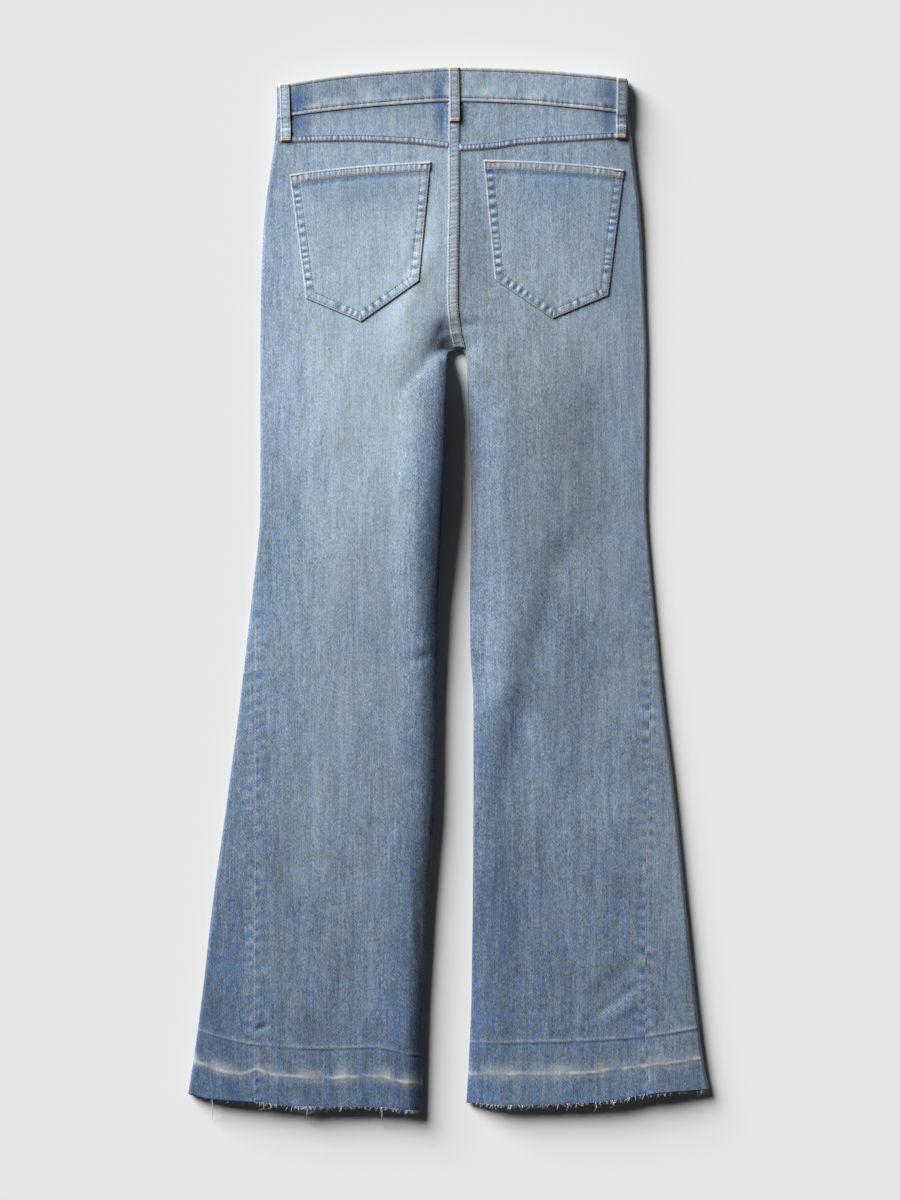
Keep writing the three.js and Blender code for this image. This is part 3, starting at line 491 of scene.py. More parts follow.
def graded(length, near, far, step):
    """Distances from 0 to length, near apart at the start and up to far apart further on."""
    at = [0.0]
    while at[-1] < length:
        at.append(at[-1] + min(far, near + (far - near) * at[-1] / step))
    at = np.array(at)
    return at * length / at[-1]


# Tone of the cloth, 0 the darkest blue and 1 the palest, down the left and the right side: palest at the
# seat, darker towards the hem and on the right side
TONE = table("down left right", [
    (0, 0.50, 0.54), (40, 0.50, 0.50), (80, 0.63, 0.50), (150, 0.76, 0.54), (230, 0.80, 0.55),
    (300, 0.82, 0.49), (400, 0.76, 0.38), (500, 0.62, 0.34), (600, 0.51, 0.32), (760, 0.38, 0.29),
    (900, 0.25, 0.21), (1000, 0.18, 0.16), (1060, 0.14, 0.16), (1110, 0.14, 0.18),
])
# Soft zones of the cloth's colour: place, size, change of tone and change towards blue or grey; those marked
# below are painted shade
ZONES = table("x down wide tall tone blue", [
    (-192, 400, 34, 210, -0.16, 0.30), (-196, 160, 22, 80, -0.14, 0.20),
    # (-30, 440): painted shade along the left leg's inner thigh
    (-30, 440, 26, 170, -0.40, -0.30), (192, 190, 16, 90, -0.14, 0.30),
    (-44, 800, 18, 150, -0.10, -0.25), (-100, 180, 50, 60, -0.10, 0.10), (100, 180, 50, 60, -0.06, 0.10),
    (-60, 330, 46, 110, 0.06, -0.20),
    # (-12, 286): painted shade in the hollow at the crotch
    (-100, 420, 60, 130, 0.00, -0.10), (-30, 240, 16, 60, 0.15, -0.05), (-12, 286, 9, 27, -0.55, 0.10),
    # (-22, 480): painted shade along the left leg's inner thigh; (28, 230): painted shade in the valley
    # beside the seat seam
    (-22, 480, 18, 190, -0.08, -0.10), (28, 230, 20, 80, -0.10, -0.35), (60, 320, 60, 70, 0.02, -0.45),
    (110, 420, 50, 140, 0.00, -0.75), (190, 400, 26, 230, 0.10, 0.80), (186, 180, 22, 70, 0.02, 0.80),
    (30, 500, 24, 180, 0.14, 0.05), (70, 560, 24, 150, 0.05, 0.10), (124, 560, 16, 160, -0.10, -0.30),
    # (66, 690) and (50, 850): painted shade, greyer, along the long fold of the right leg
    (66, 690, 13, 110, -0.22, -0.30), (50, 850, 16, 150, -0.16, -0.75), (40, 660, 26, 30, 0.10, 0.30),
    (-164, 36, 12, 22, -0.34, 0.70), (-13, 30, 8, 26, -0.36, 0.75), (-12, 62, 7, 20, -0.30, 0.70),
    (163, 34, 12, 22, -0.36, 0.80), (164, 60, 9, 14, -0.30, 0.70), (-168, 62, 9, 12, -0.25, 0.65),
    (12, 52, 8, 16, -0.28, 0.60), (-158, 66, 5, 12, -0.10, 0.20), (-96, 128, 60, 20, -0.20, 0.70),
    (-95, 215, 46, 48, 0.01, -0.15), (108, 124, 56, 26, -0.14, 0.80), (106, 215, 40, 44, 0.10, -0.35),
    (-245, 900, 30, 150, 0.02, 0.05), (-232, 640, 24, 120, 0.05, 0.05), (230, 900, 26, 150, 0.08, 0.10),
    (-120, 700, 60, 160, 0.02, -0.05), (-60, 990, 50, 60, -0.02, 0.20), (120, 1010, 60, 60, 0.02, 0.15),
    # (-38, 332): painted shade on the lit step beside the crotch
    (-186, 134, 8, 6, 0.18, -0.10), (-38, 332, 20, 26, -0.20, 0.00),
    (-19, 140, 6, 16, 0.16, -0.30), (-25, 168, 7, 18, 0.20, -0.30), (-34, 200, 8, 20, 0.20, -0.30),
    (-45, 230, 9, 20, 0.16, -0.30), (-60, 262, 11, 18, 0.12, -0.20), (10, 330, 7, 50, 0.10, -0.10),
    (-100, 60, 60, 12, 0.04, 0.45), (90, 62, 60, 12, 0.03, 0.50), (90, 24, 70, 16, 0.10, 0.15),
    (-60, 100, 70, 14, 0.03, 0.25), (160, 200, 18, 90, -0.04, 0.35), (-70, 250, 30, 30, 0.05, -0.10),
])
# Painted light and painted shade on slopes: darker where the outer fold's slope and the slopes beside the
# opening between the legs face the light, darker along the left leg's inner edge, lighter on the left leg's
# low inner edge and on the right fold's rim, which turn away from it
OUTER_SLOPE_PAINTED_LIGHT_AND_SHADE = {"left": -0.24, "right": 0.17}
INSIDE_SLOPE_PAINTED_SHADE = {"left": -0.24, "right": -0.20}
INNER_EDGE_PAINTED_SHADE = -0.42
LOW_EDGE_PAINTED_LIGHT = 0.30
RIM_PAINTED_LIGHT = 0.45
tone_left = curve(TONE, "down", "left")
tone_right = curve(TONE, "down", "right")


def wash_and_shade_at(x, down):
    """Tone, blueness and wear of the washed cloth, with painted light and painted shade on the slopes beside
    its folds and the opening between the legs.
    """
    x, down = np.broadcast_arrays(np.asarray(x, float), np.asarray(down, float))
    middle = seat_seam(np.minimum(down, CROTCH))
    tone = mix(tone_left(down), tone_right(down), smooth(x - middle, -9, 9))
    blue = np.zeros(np.shape(x))
    for zx, zd, wide, tall, more, bluer in zip(*ZONES.values()):
        zone = np.exp(-((x - zx) / wide) ** 2 - ((down - zd) / tall) ** 2)
        tone = tone + more * zone
        blue = blue + bluer * zone
    tone = tone + 0.05 * noise_plane(x, down, 24, 60, 21) + 0.03 * noise_plane(x, down, 9, 30, 22)
    blue = blue + 0.20 * noise_plane(x, down, 30, 44, 23)
    # Painted shade on the left outer slope, which faces the light, and painted light on the right one, which
    # turns away from it
    slope = 1 - np.clip(edge_distance(x, down) / outer_slope(down), 0, 1)
    tone = tone + np.where(x < middle, OUTER_SLOPE_PAINTED_LIGHT_AND_SHADE["left"], OUTER_SLOPE_PAINTED_LIGHT_AND_SHADE["right"]) * slope
    gap = gap_distance(x, down)
    # Painted shade on the slopes beside the opening between the legs, which face the light
    inside = (1 - smooth(gap, 0, rise_reach(down))) * smooth(down, CROTCH - 1, CROTCH + 16)
    tone = tone + np.where(x < middle, INSIDE_SLOPE_PAINTED_SHADE["left"], INSIDE_SLOPE_PAINTED_SHADE["right"]) * inside
    # Painted shade along the left leg's inner edge below the crotch
    turned = bell(gap, 9) * smooth(down, 300, 320) * (1 - smooth(down, 400, 560))
    tone = tone + np.where(x < middle, INNER_EDGE_PAINTED_SHADE, 0) * turned
    # Painted light on the left leg's low inner edge, which turns away from the light
    low_edge_painted_light = bell(gap, 12) * smooth(down, 620, 900)
    tone = tone + np.where(x < middle, LOW_EDGE_PAINTED_LIGHT, 0) * low_edge_painted_light
    # Painted light on the rim of the right outer fold, which lies in shade
    rim = bell(edge_distance(x, down), 2.6) * smooth(down, 30, 80)
    tone = tone + np.where(x > middle, RIM_PAINTED_LIGHT, 0) * rim
    return np.stack([tone, blue, np.zeros(np.shape(x))], axis=-1)


def dye_and_shade(wash_and_shade, tone=0.0, blue=0.0, wear=0.0):
    """Add to the tone, blueness and wear of the cloth's colour, for real wear and roping and for painted
    shadows.
    """
    for channel, more in enumerate((tone, blue, wear)):
        wash_and_shade[..., channel] += more


def row_down(row, x, seam, nominal):
    """Where a panel's row lies: it follows the seam above it and, further down, the hem."""
    at_seam = (seam(x) - nominal) * (1 - smooth(row, nominal, 270))
    at_hem = (hem(x) - HEM_NOMINAL) * smooth(row, 760, HEM_NOMINAL)
    return row + at_seam + at_hem


def meet(line, row, guess, seam, nominal):
    """x where each row meets a line that runs down the garment."""
    x = np.broadcast_to(np.asarray(guess, float), np.shape(row)).copy()
    for _ in range(8):
        x = line(row_down(row, x, seam, nominal))
    return x


def inner_line(side):
    way = SIDES[side]

    def line(down):
        return np.where(down <= CROTCH, seat_seam(down) + way * SEAM_GAP / 2, inner[side](down))

    return line


def panel_rows(start):
    """Rows of a leg panel, closer together at the crotch and the hem."""
    seat = np.linspace(start + SEAM_GAP / 2, 286, 78)
    fork = np.linspace(286, 322, 33)[1:]
    leg = np.linspace(322, 1020, 250)[1:]
    cuff = np.linspace(1020, HEM_NOMINAL, 57)[1:]
    return np.concatenate([seat, fork, leg, cuff])


def seam_puckers(away, along, seed):
    """Roping beside a leg seam: uneven ridges square to it that die out across the cloth."""
    return uneven_wave(along, 13.5, seed) * (smooth(away, 0, 1.5) * bell(away, 9))


def back_panel(side):
    """Upper layer of a leg, from the yoke seam to the hem."""
    way = SIDES[side]
    row = panel_rows(YOKE_NOMINAL)
    a = meet(inner_line(side), row, inner_line(side)(row), yoke_seam, YOKE_NOMINAL)
    b = meet(lambda d: side_seam(side, d) - way * SEAM_GAP / 2, row, way * 205, yoke_seam, YOKE_NOMINAL)
    near = graded(24, 0.25, 2.6, 12)
    far = graded(26, 0.1, 2.4, 14)
    middle = np.linspace(0, 1, 42)[1:-1]
    inner_x = a[:, None] + way * near
    outer_x = (b[:, None] - way * far)[:, ::-1]
    across = inner_x[:, -1:] + (outer_x[:, :1] - inner_x[:, -1:]) * middle
    x = np.concatenate([inner_x, across, outer_x], axis=1)
    down = row_down(row[:, None], x, yoke_seam, YOKE_NOMINAL)
    z = top_level(x, down)
    wash_and_shade = wash_and_shade_at(x, down)

    from_seam = way * (b[:, None] - x)
    show = smooth(down, ROPE_FROM, ROPE_TO)
    rope = seam_puckers(from_seam, down + 0.25 * from_seam, 40 + way)
    z = z + 0.6 * rope * show
    z = z - SEAM_GROOVE * bell(from_seam, 1.0)
    dye_and_shade(
        wash_and_shade,
        tone=(0.55 * np.minimum(rope, 0.2 * rope) + 0.05 * bell(from_seam - 3, 3)) * show,
        blue=-2.0 * np.minimum(rope, 0) * show,
        wear=0.15 * bell(from_seam, 0.9) * show,
    )

    z, wash_and_shade = hem_details(x, down, z, wash_and_shade)
    z = z - 0.35 * bell(down - hem(x), 2.0)
    inner_fold = row >= CROTCH
    z[inner_fold, 0] = fold_level(a[inner_fold], row[inner_fold]) + SEAM_GAP / 2
    return points_at(x, down, z), wash_and_shade


def hem_details(x, down, z, wash_and_shade):
    """The pressed line of the old hem, the worn line of its fold and the bluer edge below."""
    at_line = down - hem_line(x)
    at_fold = down - hem_fold(x) - 0.8 * noise_line(x, 9, 61)
    strength = 0.75 + 0.25 * noise_line(x, 14, 62)
    broken = np.clip(0.62 + 0.55 * noise_line(x, 7, 63) + 0.3 * noise_line(x, 23, 64), 0.1, 1)
    z = z + 0.8 * strength * bell(at_line, 1.1) - 0.45 * bell(at_line - 2.8, 2.0)
    z = z + 0.6 * broken * bell(at_fold, 1.2) - 0.3 * bell(at_fold - 3, 2.4)
    dye_and_shade(
        wash_and_shade,
        tone=0.05 * bell(at_line + 2, 3) - 0.07 * bell(at_line - 3.5, 3),
        blue=0.5 * bell(at_line - 2.5, 2),
        wear=0.24 * strength * bell(at_line, 1.0) + 0.6 * broken * bell(at_fold, 1.9),
    )
    dye_and_shade(
        wash_and_shade,
        tone=0.07 * bell(at_fold + 3, 7) - 0.05 * smooth(at_fold, 1, 6),
        blue=0.2 * smooth(at_fold, 1, 8),
        wear=0.30 * np.clip(0.5 + 0.7 * noise_line(x, 12, 66), 0, 1) * bell(at_fold + 3, 7),
    )
    return z, wash_and_shade


def front_panel(side):
    """Lower layer of a leg, round the outer fold and up to the side seam."""
    way = SIDES[side]
    row = panel_rows(FRONT_NOMINAL)
    a = meet(inner_line(side), row, inner_line(side)(row), front_seam, FRONT_NOMINAL)
    b = meet(outer[side], row, way * 205, front_seam, FRONT_NOMINAL)
    c = meet(lambda d: side_seam(side, d) + way * SEAM_GAP / 2, row, way * 205, front_seam, FRONT_NOMINAL)
    roll = UNDER_ROLL * (1 - np.cos(np.linspace(0, math.pi / 2, 8)))
    level = np.linspace(0, 1, 16)[1:-1]
    inner_x = a[:, None] + way * roll
    outer_x = (b[:, None] - way * roll)[:, ::-1]
    across = inner_x[:, -1:] + (outer_x[:, :1] - inner_x[:, -1:]) * level
    under_x = np.concatenate([inner_x, across, outer_x], axis=1)
    under_down = row_down(row[:, None], under_x, front_seam, FRONT_NOMINAL)
    under_z = under_level(under_x, under_down)

    to_seam = 1 - graded(0.08, 0.0012, 0.025, 0.06)[::-1]
    share = np.concatenate([graded(0.92, 0.002, 0.05, 0.35)[1:-1], to_seam])
    wrap_x = b[:, None] + (c - b)[:, None] * share
    wrap_down = row_down(row[:, None], wrap_x, front_seam, FRONT_NOMINAL)
    wrap_z = top_level(wrap_x, wrap_down)
    wash_and_shade = wash_and_shade_at(wrap_x, wrap_down)
    from_seam = way * (wrap_x - c[:, None])
    show = smooth(wrap_down, ROPE_FROM, ROPE_TO)
    rope = seam_puckers(from_seam, wrap_down - 0.2 * from_seam, 50 + way)
    wrap_z = wrap_z + 0.16 * rope * show - SEAM_GROOVE * bell(from_seam, 1.0)
    dye_and_shade(wash_and_shade, 0.2 * rope * show, -np.minimum(rope, 0) * show, 0.12 * bell(from_seam, 0.9) * show)
    wrap_z, wash_and_shade = hem_details(wrap_x, wrap_down, wrap_z, wash_and_shade)

    under_z[:, -1] = FOLD_LEVEL
    inner_fold = row >= CROTCH
    under_z[inner_fold, 0] = fold_level(a[inner_fold], row[inner_fold]) - SEAM_GAP / 2
    under_z = np.maximum(under_z, 0.02)
    points = np.concatenate([
        points_at(under_x, under_down, under_z),
        points_at(wrap_x, wrap_down, wrap_z),
    ], axis=1)
    return points, np.concatenate([wash_and_shade_at(under_x, under_down), wash_and_shade], axis=1)


def band_grid(from_x, to_x, upper, lower, tall_steps, wide_steps):
    """x and down over a band that lies across the garment."""
    share = tall_steps[:, None]
    x = mix(from_x, to_x, wide_steps[None, :]) + 0 * share
    for _ in range(3):
        down = mix(upper(x), lower(x), share)
    return x, down


def close_at_ends(count, strength=0.5):
    """Shares from 0 to 1 that lie closer together at both ends."""
    even = np.linspace(0, 1, count + 1)
    return mix(even, (1 - np.cos(math.pi * even)) / 2, strength)


def yoke_panel(side):
    half = SIDES[side] * SEAM_GAP / 2
    end = side_seam(side, np.array(62.0)) - half
    x, down = band_grid(
        half, end, lambda v: waist_seam(v) + SEAM_GAP / 2, lambda v: yoke_seam(v) - SEAM_GAP / 2,
        close_at_ends(26), close_at_ends(110, 0.8),
    )
    z = top_level(x, down)
    wash_and_shade = wash_and_shade_at(x, down)
    under_band = down - waist_seam(x)
    # Just under the waistband the yoke is painted darker and bluer: a painted shadow of the band's lower edge
    dye_and_shade(wash_and_shade, tone=-0.16 * bell(under_band, 3), blue=0.3 * bell(under_band, 4))
    return points_at(x, down, z), wash_and_shade


def band_details(x, down, wash_and_shade, top, foot):
    """Roping and wear along the stitched edges of the waistband."""
    from_top = down - top
    from_foot = foot - down
    ladder = uneven_wave(x, 6.5, 71) * bell(from_foot - 4.5, 3.5)
    raised = 0.22 * ladder + 0.12 * uneven_wave(x, 8, 73) * bell(from_top - 3, 2.5)
    raised = raised - 0.4 * bell(from_foot - BAND_STITCH_FOOT, 0.8)
    raised = raised - 0.4 * bell(from_top - BAND_STITCH_TOP, 0.8)
    raised = raised - 0.5 * bell(from_top, 0.7) - 0.35 * bell(from_foot, 0.7)
    patches = noise_plane(x, down, 9, 11, 75) + 0.6 * noise_plane(x, down, 4.5, 7, 76)
    wash_and_shade[..., 0] += 0.22 * ladder + 0.10 * bell(from_foot - 7, 5) + 0.20 * patches * bell(from_foot - 10, 9)
    wash_and_shade[..., 1] += 0.8 * np.maximum(-patches, 0) * bell(from_foot - 11, 9)
    wash_and_shade[..., 2] += (0.42 + 0.18 * noise_line(x, 9, 77)) * (1 - smooth(from_foot, 2.4, 4.2))
    wash_and_shade[..., 2] += 0.6 * (1 - smooth(from_top, 2.0, 3.8))
    wash_and_shade[..., 2] += 0.45 * np.maximum(patches, 0) * bell(from_foot - 9, 8)
    wash_and_shade[..., 0] -= 0.22 * bell(from_foot - BAND_STITCH_FOOT, 0.9) + 0.2 * bell(from_top - 3.9, 0.9)
    return raised, wash_and_shade


def waistband_back():
    left = side_seam("left", np.array(35.0)) + SEAM_GAP / 2
    right = side_seam("right", np.array(30.0)) - SEAM_GAP / 2
    x, down = band_grid(
        left, right, waist_top, lambda v: waist_seam(v) - SEAM_GAP / 2,
        close_at_ends(34, 0.7), close_at_ends(250, 0.35),
    )
    raised, wash_and_shade = band_details(x, down, wash_and_shade_at(x, down), waist_top(x), waist_seam(x))
    return points_at(x, down, top_level(x, down) + BAND_RAISE + raised), wash_and_shade


def waistband_front(side):
    """Half of the front waistband, round the fold; the left end laps over the right one."""
    way = SIDES[side]
    share = close_at_ends(16)[:, None]
    edge = outer[side](np.array(35.0))
    seam = side_seam(side, np.array(35.0)) + way * SEAM_GAP / 2
    end = BUTTON_X - way * OVERLAP
    roll = UNDER_ROLL * (1 - np.cos(np.linspace(0, math.pi / 2, 7)))
    flat = np.linspace(end, edge - way * UNDER_ROLL, 60)
    under_x = np.concatenate([flat, edge - way * roll[::-1][1:]])
    wrap_x = np.linspace(edge, seam, 4)[1:]
    x = np.concatenate([under_x, wrap_x])[None, :] + 0 * share
    down = mix(front_top(x), front_seam(x) - SEAM_GAP / 2, share)
    z = under_level(x, down)
    if side == "right":
        z = z + (BAND_CLOTH + LAY_GAP) * (1 - smooth(x, OVERLAP, 3 * OVERLAP))
    z[:, len(under_x) - 1] = FOLD_LEVEL
    z[:, len(under_x):] = top_level(x[:, len(under_x):], down[:, len(under_x):])
    return points_at(x, down, z), wash_and_shade_at(x, down)


def lap_relief(across, along, width, seed, slant, strong):
    """A felled seam's lap: crowned, dipping at its two stitch rows, with a ladder of puckers."""
    share = across / (width / 2)
    out = np.abs(share)
    ladder = strong * uneven_wave(along + slant * across, 4.7, seed)
    between = bell(share, 0.62)
    raised = 0.30 * ladder * between - 0.45 * bell(out - 1, 0.16) - 0.18 * bell(out - LAP_STITCH, 0.12)
    tone = 0.46 * ladder * between + 0.08 * noise_line(along, 11, seed + 3)
    wear = 0.55 * bell(out - 1, 0.24) + 0.4 * between * (ladder > 0) * ladder
    return raised, tone, wear, -1.3 * np.minimum(ladder, 0) * between


def seat_lap():
    down = np.linspace(waist_seam(0.0) + 1, CROTCH - LAP_SHORT, 200)[:, None]
    across = close_at_ends(14, 0.8)[None, :] * SEAT_LAP_WIDTH - SEAT_LAP_WIDTH / 2
    x = seat_seam(down) + across
    down = down + 0 * across
    raised, tone, wear, blue = lap_relief(across + 0 * down, down, SEAT_LAP_WIDTH, 81, 0.12, 0.8)
    wash_and_shade = wash_and_shade_at(x, down)
    wash_and_shade[..., 0] = mix(wash_and_shade[..., 0], tone_left(down), 0.6) + tone + 0.02
    dye_and_shade(wash_and_shade, blue=blue, wear=wear)
    z = top_level(x, down) + LAP_THICK + LAY_GAP + raised
    return points_at(x, down, z), wash_and_shade


YOKE_LAP_ACROSS = (close_at_ends(12, 0.8)[:, None] - 0.5) * YOKE_LAP_WIDTH


def lap_share(across):
    """Share of a yoke lap's height across it: its lower edge is pressed down and thins out."""
    return 1 - 0.85 * smooth(across, 1.2, YOKE_LAP_WIDTH / 2)


def yoke_lap(side):
    way = SIDES[side]
    start = way * (SEAT_LAP_WIDTH / 2 + SEAM_GAP)
    end = side_seam(side, np.array(75.0)) - way * 2.2
    wide = close_at_ends(150, 0.3)[None, :]
    across = YOKE_LAP_ACROSS
    x = mix(start, end, wide) + 0 * across
    down = yoke_seam(x) + across
    raised, tone, wear, blue = lap_relief(across + 0 * x, x, YOKE_LAP_WIDTH, 91 + way, -0.1, 1.35)
    # The lap's upper edge is painted darker and bluer: partly an unworn groove, partly a painted shadow of
    # the fold above it
    upper = bell(across + 0 * x + YOKE_LAP_WIDTH / 2, 1.3)
    wear = wear * (1 - upper) + 0.55 * bell(across + 0 * x - YOKE_LAP_WIDTH / 2, 1.3)
    tone = tone - 0.5 * upper
    blue = blue + 0.7 * upper
    wash_and_shade = wash_and_shade_at(x, down)
    dye_and_shade(wash_and_shade, tone + 0.03, blue, wear)
    z = top_level(x, down) + (LAP_THICK + LAY_GAP + raised) * lap_share(across)
    return points_at(x, down, z), wash_and_shade


def pocket_outline(side):
    top_left, top_right, low_left, point, low_right = (np.array(c, float) for c in POCKETS[side])
    return top_left, top_right, low_left, point, low_right


def pocket_split(side):
    """Share of a pocket's width at which its point is."""
    _, _, low_left, point, low_right = pocket_outline(side)
    return (point[0] - low_left[0]) / (low_right[0] - low_left[0])


def pocket_place(side, u, v):
    """x and down of a share u across and v down a pocket."""
    top_left, top_right, low_left, point, low_right = pocket_outline(side)
    split = pocket_split(side)
    width = top_right[0] - top_left[0]
    top_x = mix(top_left[0], top_right[0], u)
    top_down = mix(top_left[1], top_right[1], u) - np.sin(math.pi * u) * POCKET_BOW * width
    a = np.clip(u / split, 0, 1)
    b = np.clip((u - split) / (1 - split), 0, 1)
    foot_x = np.where(u <= split, mix(low_left[0], point[0], a), mix(point[0], low_right[0], b))
    foot_down = np.where(u <= split, mix(low_left[1], point[1], a), mix(point[1], low_right[1], b))
    return mix(top_x, foot_x, v), mix(top_down, foot_down, v)


def pocket_lift(side, x, down):
    """How far the outside of a pocket stands over the panel, with its tone, wear and blueness, and a painted
    shadow under its hem.
    """
    u = np.linspace(0, 1, 41)
    top = np.stack(pocket_place(side, u, 0 * u), axis=1)
    _, _, low_left, point, low_right = pocket_outline(side)
    sides = np.array([top[0], low_left, point, low_right, top[-1]])
    from_top, along_top = line_distance(x, down, top)
    from_side, along = line_distance(x, down, sides)
    seed = 101 if side == "left" else 131
    in_hem = 1 - smooth(from_top, POCKET_HEM_HEIGHT - 1, POCKET_HEM_HEIGHT + 0.6)
    pillows = uneven_wave(along, 8.5, seed) * bell(from_side - 5.6, 3.4) * (1 - in_hem)
    ladder = uneven_wave(along_top, 5.5, seed + 7) * bell(from_top - 5, 3) * in_hem
    edge = np.minimum(from_top, from_side)
    lift = POCKET_THICK + LAY_GAP + POCKET_HEM_RAISE * in_hem + 0.42 * pillows + 0.26 * ladder
    outer_row, inner_row = POCKET_STITCHES
    upper_row, lower_row = POCKET_HEM_STITCHES
    lift = lift - 0.55 * bell(edge, 0.7)
    lift = lift - 0.22 * bell(from_side - outer_row, 0.7) - 0.22 * bell(from_side - inner_row, 0.9)
    lift = lift - 0.2 * in_hem * (bell(from_top - upper_row, 0.6) + bell(from_top - lower_row, 0.6))
    middle = smooth(edge, 12, 40)
    lift = lift + 0.5 * middle * noise_plane(x, down, 30, 40, seed + 9)
    lift = lift - 0.35 * bell(from_top - 13, 3.5) * (1 - in_hem)
    # Just under the pocket's hem the tone is painted darker, and bluer below: a painted shadow of the hem
    tone = 0.36 * pillows - 0.34 * np.maximum(-pillows, 0) + 0.36 * ladder - 0.26 * bell(from_top - 12.8, 2.6)
    uneven = 0.55 + 0.45 * noise_line(along, 9, seed + 15)
    wear = 0.8 * uneven * bell(edge, 1.1) + 0.6 * bell(from_top - POCKET_HEM_HEIGHT + 1, 0.9)
    wear = wear + 0.2 * np.maximum(pillows, 0)
    wear = wear + 0.25 * in_hem * (0.6 + 0.4 * noise_line(along_top, 6, seed + 11))
    blue = 1.6 * np.maximum(-pillows, 0) + 0.8 * np.maximum(-ladder, 0) + 0.6 * bell(from_top - 13, 4)
    return lift, tone, wear, blue


def pocket(side):
    """A back pocket, with closer points at its edges and hem."""
    split = pocket_split(side)
    left = graded(0.5, 0.004, 0.011, 0.08)
    half = np.concatenate([left, 1 - left[::-1][1:]])
    u = np.concatenate([half * split, split + (1 - split) * half[1:]])[None, :]
    hem_rows = graded(0.14, 0.003, 0.006, 0.03)
    foot_rows = 1 - graded(0.07, 0.003, 0.009, 0.03)[::-1][1:]
    v = np.concatenate([hem_rows, np.linspace(0.14, 0.93, 92)[1:], foot_rows])[:, None]
    x, down = pocket_place(side, u + 0 * v, v + 0 * u)
    lift, tone, wear, blue = pocket_lift(side, x, down)
    wash_and_shade = wash_and_shade_at(x, down)
    dye_and_shade(wash_and_shade, tone + 0.02, blue, wear)
    return points_at(x, down, top_level(x, down) + lift), wash_and_shade


def loop_lift(name, down):
    """Middle line of a belt loop and how far its underside stands over the panel."""
    top_x, foot_x, foot, on_lap_from = LOOPS[name]
    start = waist_top(top_x) + 0.2
    share = (down - start) / (foot - start)
    seam = waist_seam(top_x)
    on_band = BAND_RAISE * (1 - smooth(down, seam, seam + 5))
    on_lap = (LAP_THICK + LAY_GAP) * smooth(down, on_lap_from - 4, on_lap_from)
    arch = LOOP_ARCH * np.maximum(np.sin(math.pi * np.clip(share, 0, 1)), 0) ** 0.8
    return mix(top_x, foot_x, share), np.maximum(on_band, on_lap) + LAY_GAP + arch


def loop_frame(name, down):
    """Points on a loop's middle line with its directions across and out."""
    middle, lift = loop_lift(name, down)
    step = 0.5
    centre = points_at(middle, down, top_level(middle, down))
    slope = (top_level(middle + step, down) - top_level(middle - step, down)) / (2 * step)
    out = np.stack([-slope, 0 * slope, 1 + 0 * slope], axis=-1)
    out /= np.linalg.norm(out, axis=-1, keepdims=True)
    across = np.cross(np.array([0, 1.0, 0]), out)
    return centre, across, out, lift


def belt_loop(name):
    top_x, _, foot, _ = LOOPS[name]
    down = np.linspace(waist_top(top_x) + 0.2, foot, 76)
    centre, across, out, lift = loop_frame(name, down)
    share = close_at_ends(16, 0.9) - 0.5
    dip = 0.35 * bell(np.abs(share) * 2 - 1, 0.13) + 0.16 * bell(np.abs(share) * 2 - LOOP_STITCH, 0.1)
    pucker = 0.14 * uneven_wave(down, 5.5, 151)[:, None] * bell(share, 0.3)[None, :]
    raised = (lift + LOOP_THICK)[:, None] - dip[None, :] + pucker
    ends = np.minimum(down - down[0], down[-1] - down)
    raised = raised - 0.6 * bell(ends, 0.9)[:, None]
    sideways = across[:, None] * (share * LOOP_WIDTH)[None, :, None]
    points = centre[:, None] + sideways + out[:, None] * raised[..., None]
    x = points[..., 0]
    wash_and_shade = wash_and_shade_at(x, down[:, None] + 0 * x)
    wash_and_shade[..., 0] = 0.62 + 0.24 * uneven_wave(down, 6, 153)[:, None] * bell(share, 0.3)[None, :]
    wash_and_shade[..., 1] = 0.2
    wash_and_shade[..., 2] = 0.65 * bell(np.abs(share) * 2 - 1, 0.22)[None, :] + 0.5 * bell(ends, 1.0)[:, None]
    return points, wash_and_shade


# Threads

STITCH = 2.7
STITCH_GAP = 0.5
RING_AT = (0.0, 0.2, 0.8, 1.0)
RING_SIDES = 5


def tubes(centres, outs, radii):
    """Closed tubes: centres and outs are tubes by rings by three, radii tubes by rings."""
    count, rings = centres.shape[:2]
    along = np.gradient(centres, axis=1)
    along /= np.maximum(np.linalg.norm(along, axis=2, keepdims=True), 1e-9)
    across = np.cross(along, outs)
    across /= np.maximum(np.linalg.norm(across, axis=2, keepdims=True), 1e-9)
    up = np.cross(across, along)
    angle = 2 * math.pi * np.arange(RING_SIDES) / RING_SIDES
    ring = up[:, :, None] * np.cos(angle)[:, None] + across[:, :, None] * np.sin(angle)[:, None]
    points = centres[:, :, None] + ring * radii[:, :, None, None]
    ids = np.arange(count * rings * RING_SIDES).reshape(count, rings, RING_SIDES)
    turned = np.roll(ids, -1, axis=2)
    walls = np.stack([ids[:, :-1], turned[:, :-1], turned[:, 1:], ids[:, 1:]], axis=-1).reshape(-1, 4)
    caps = np.concatenate([ids[:, 0, ::-1], ids[:, -1]])
    return points.reshape(-1, 3), walls, caps


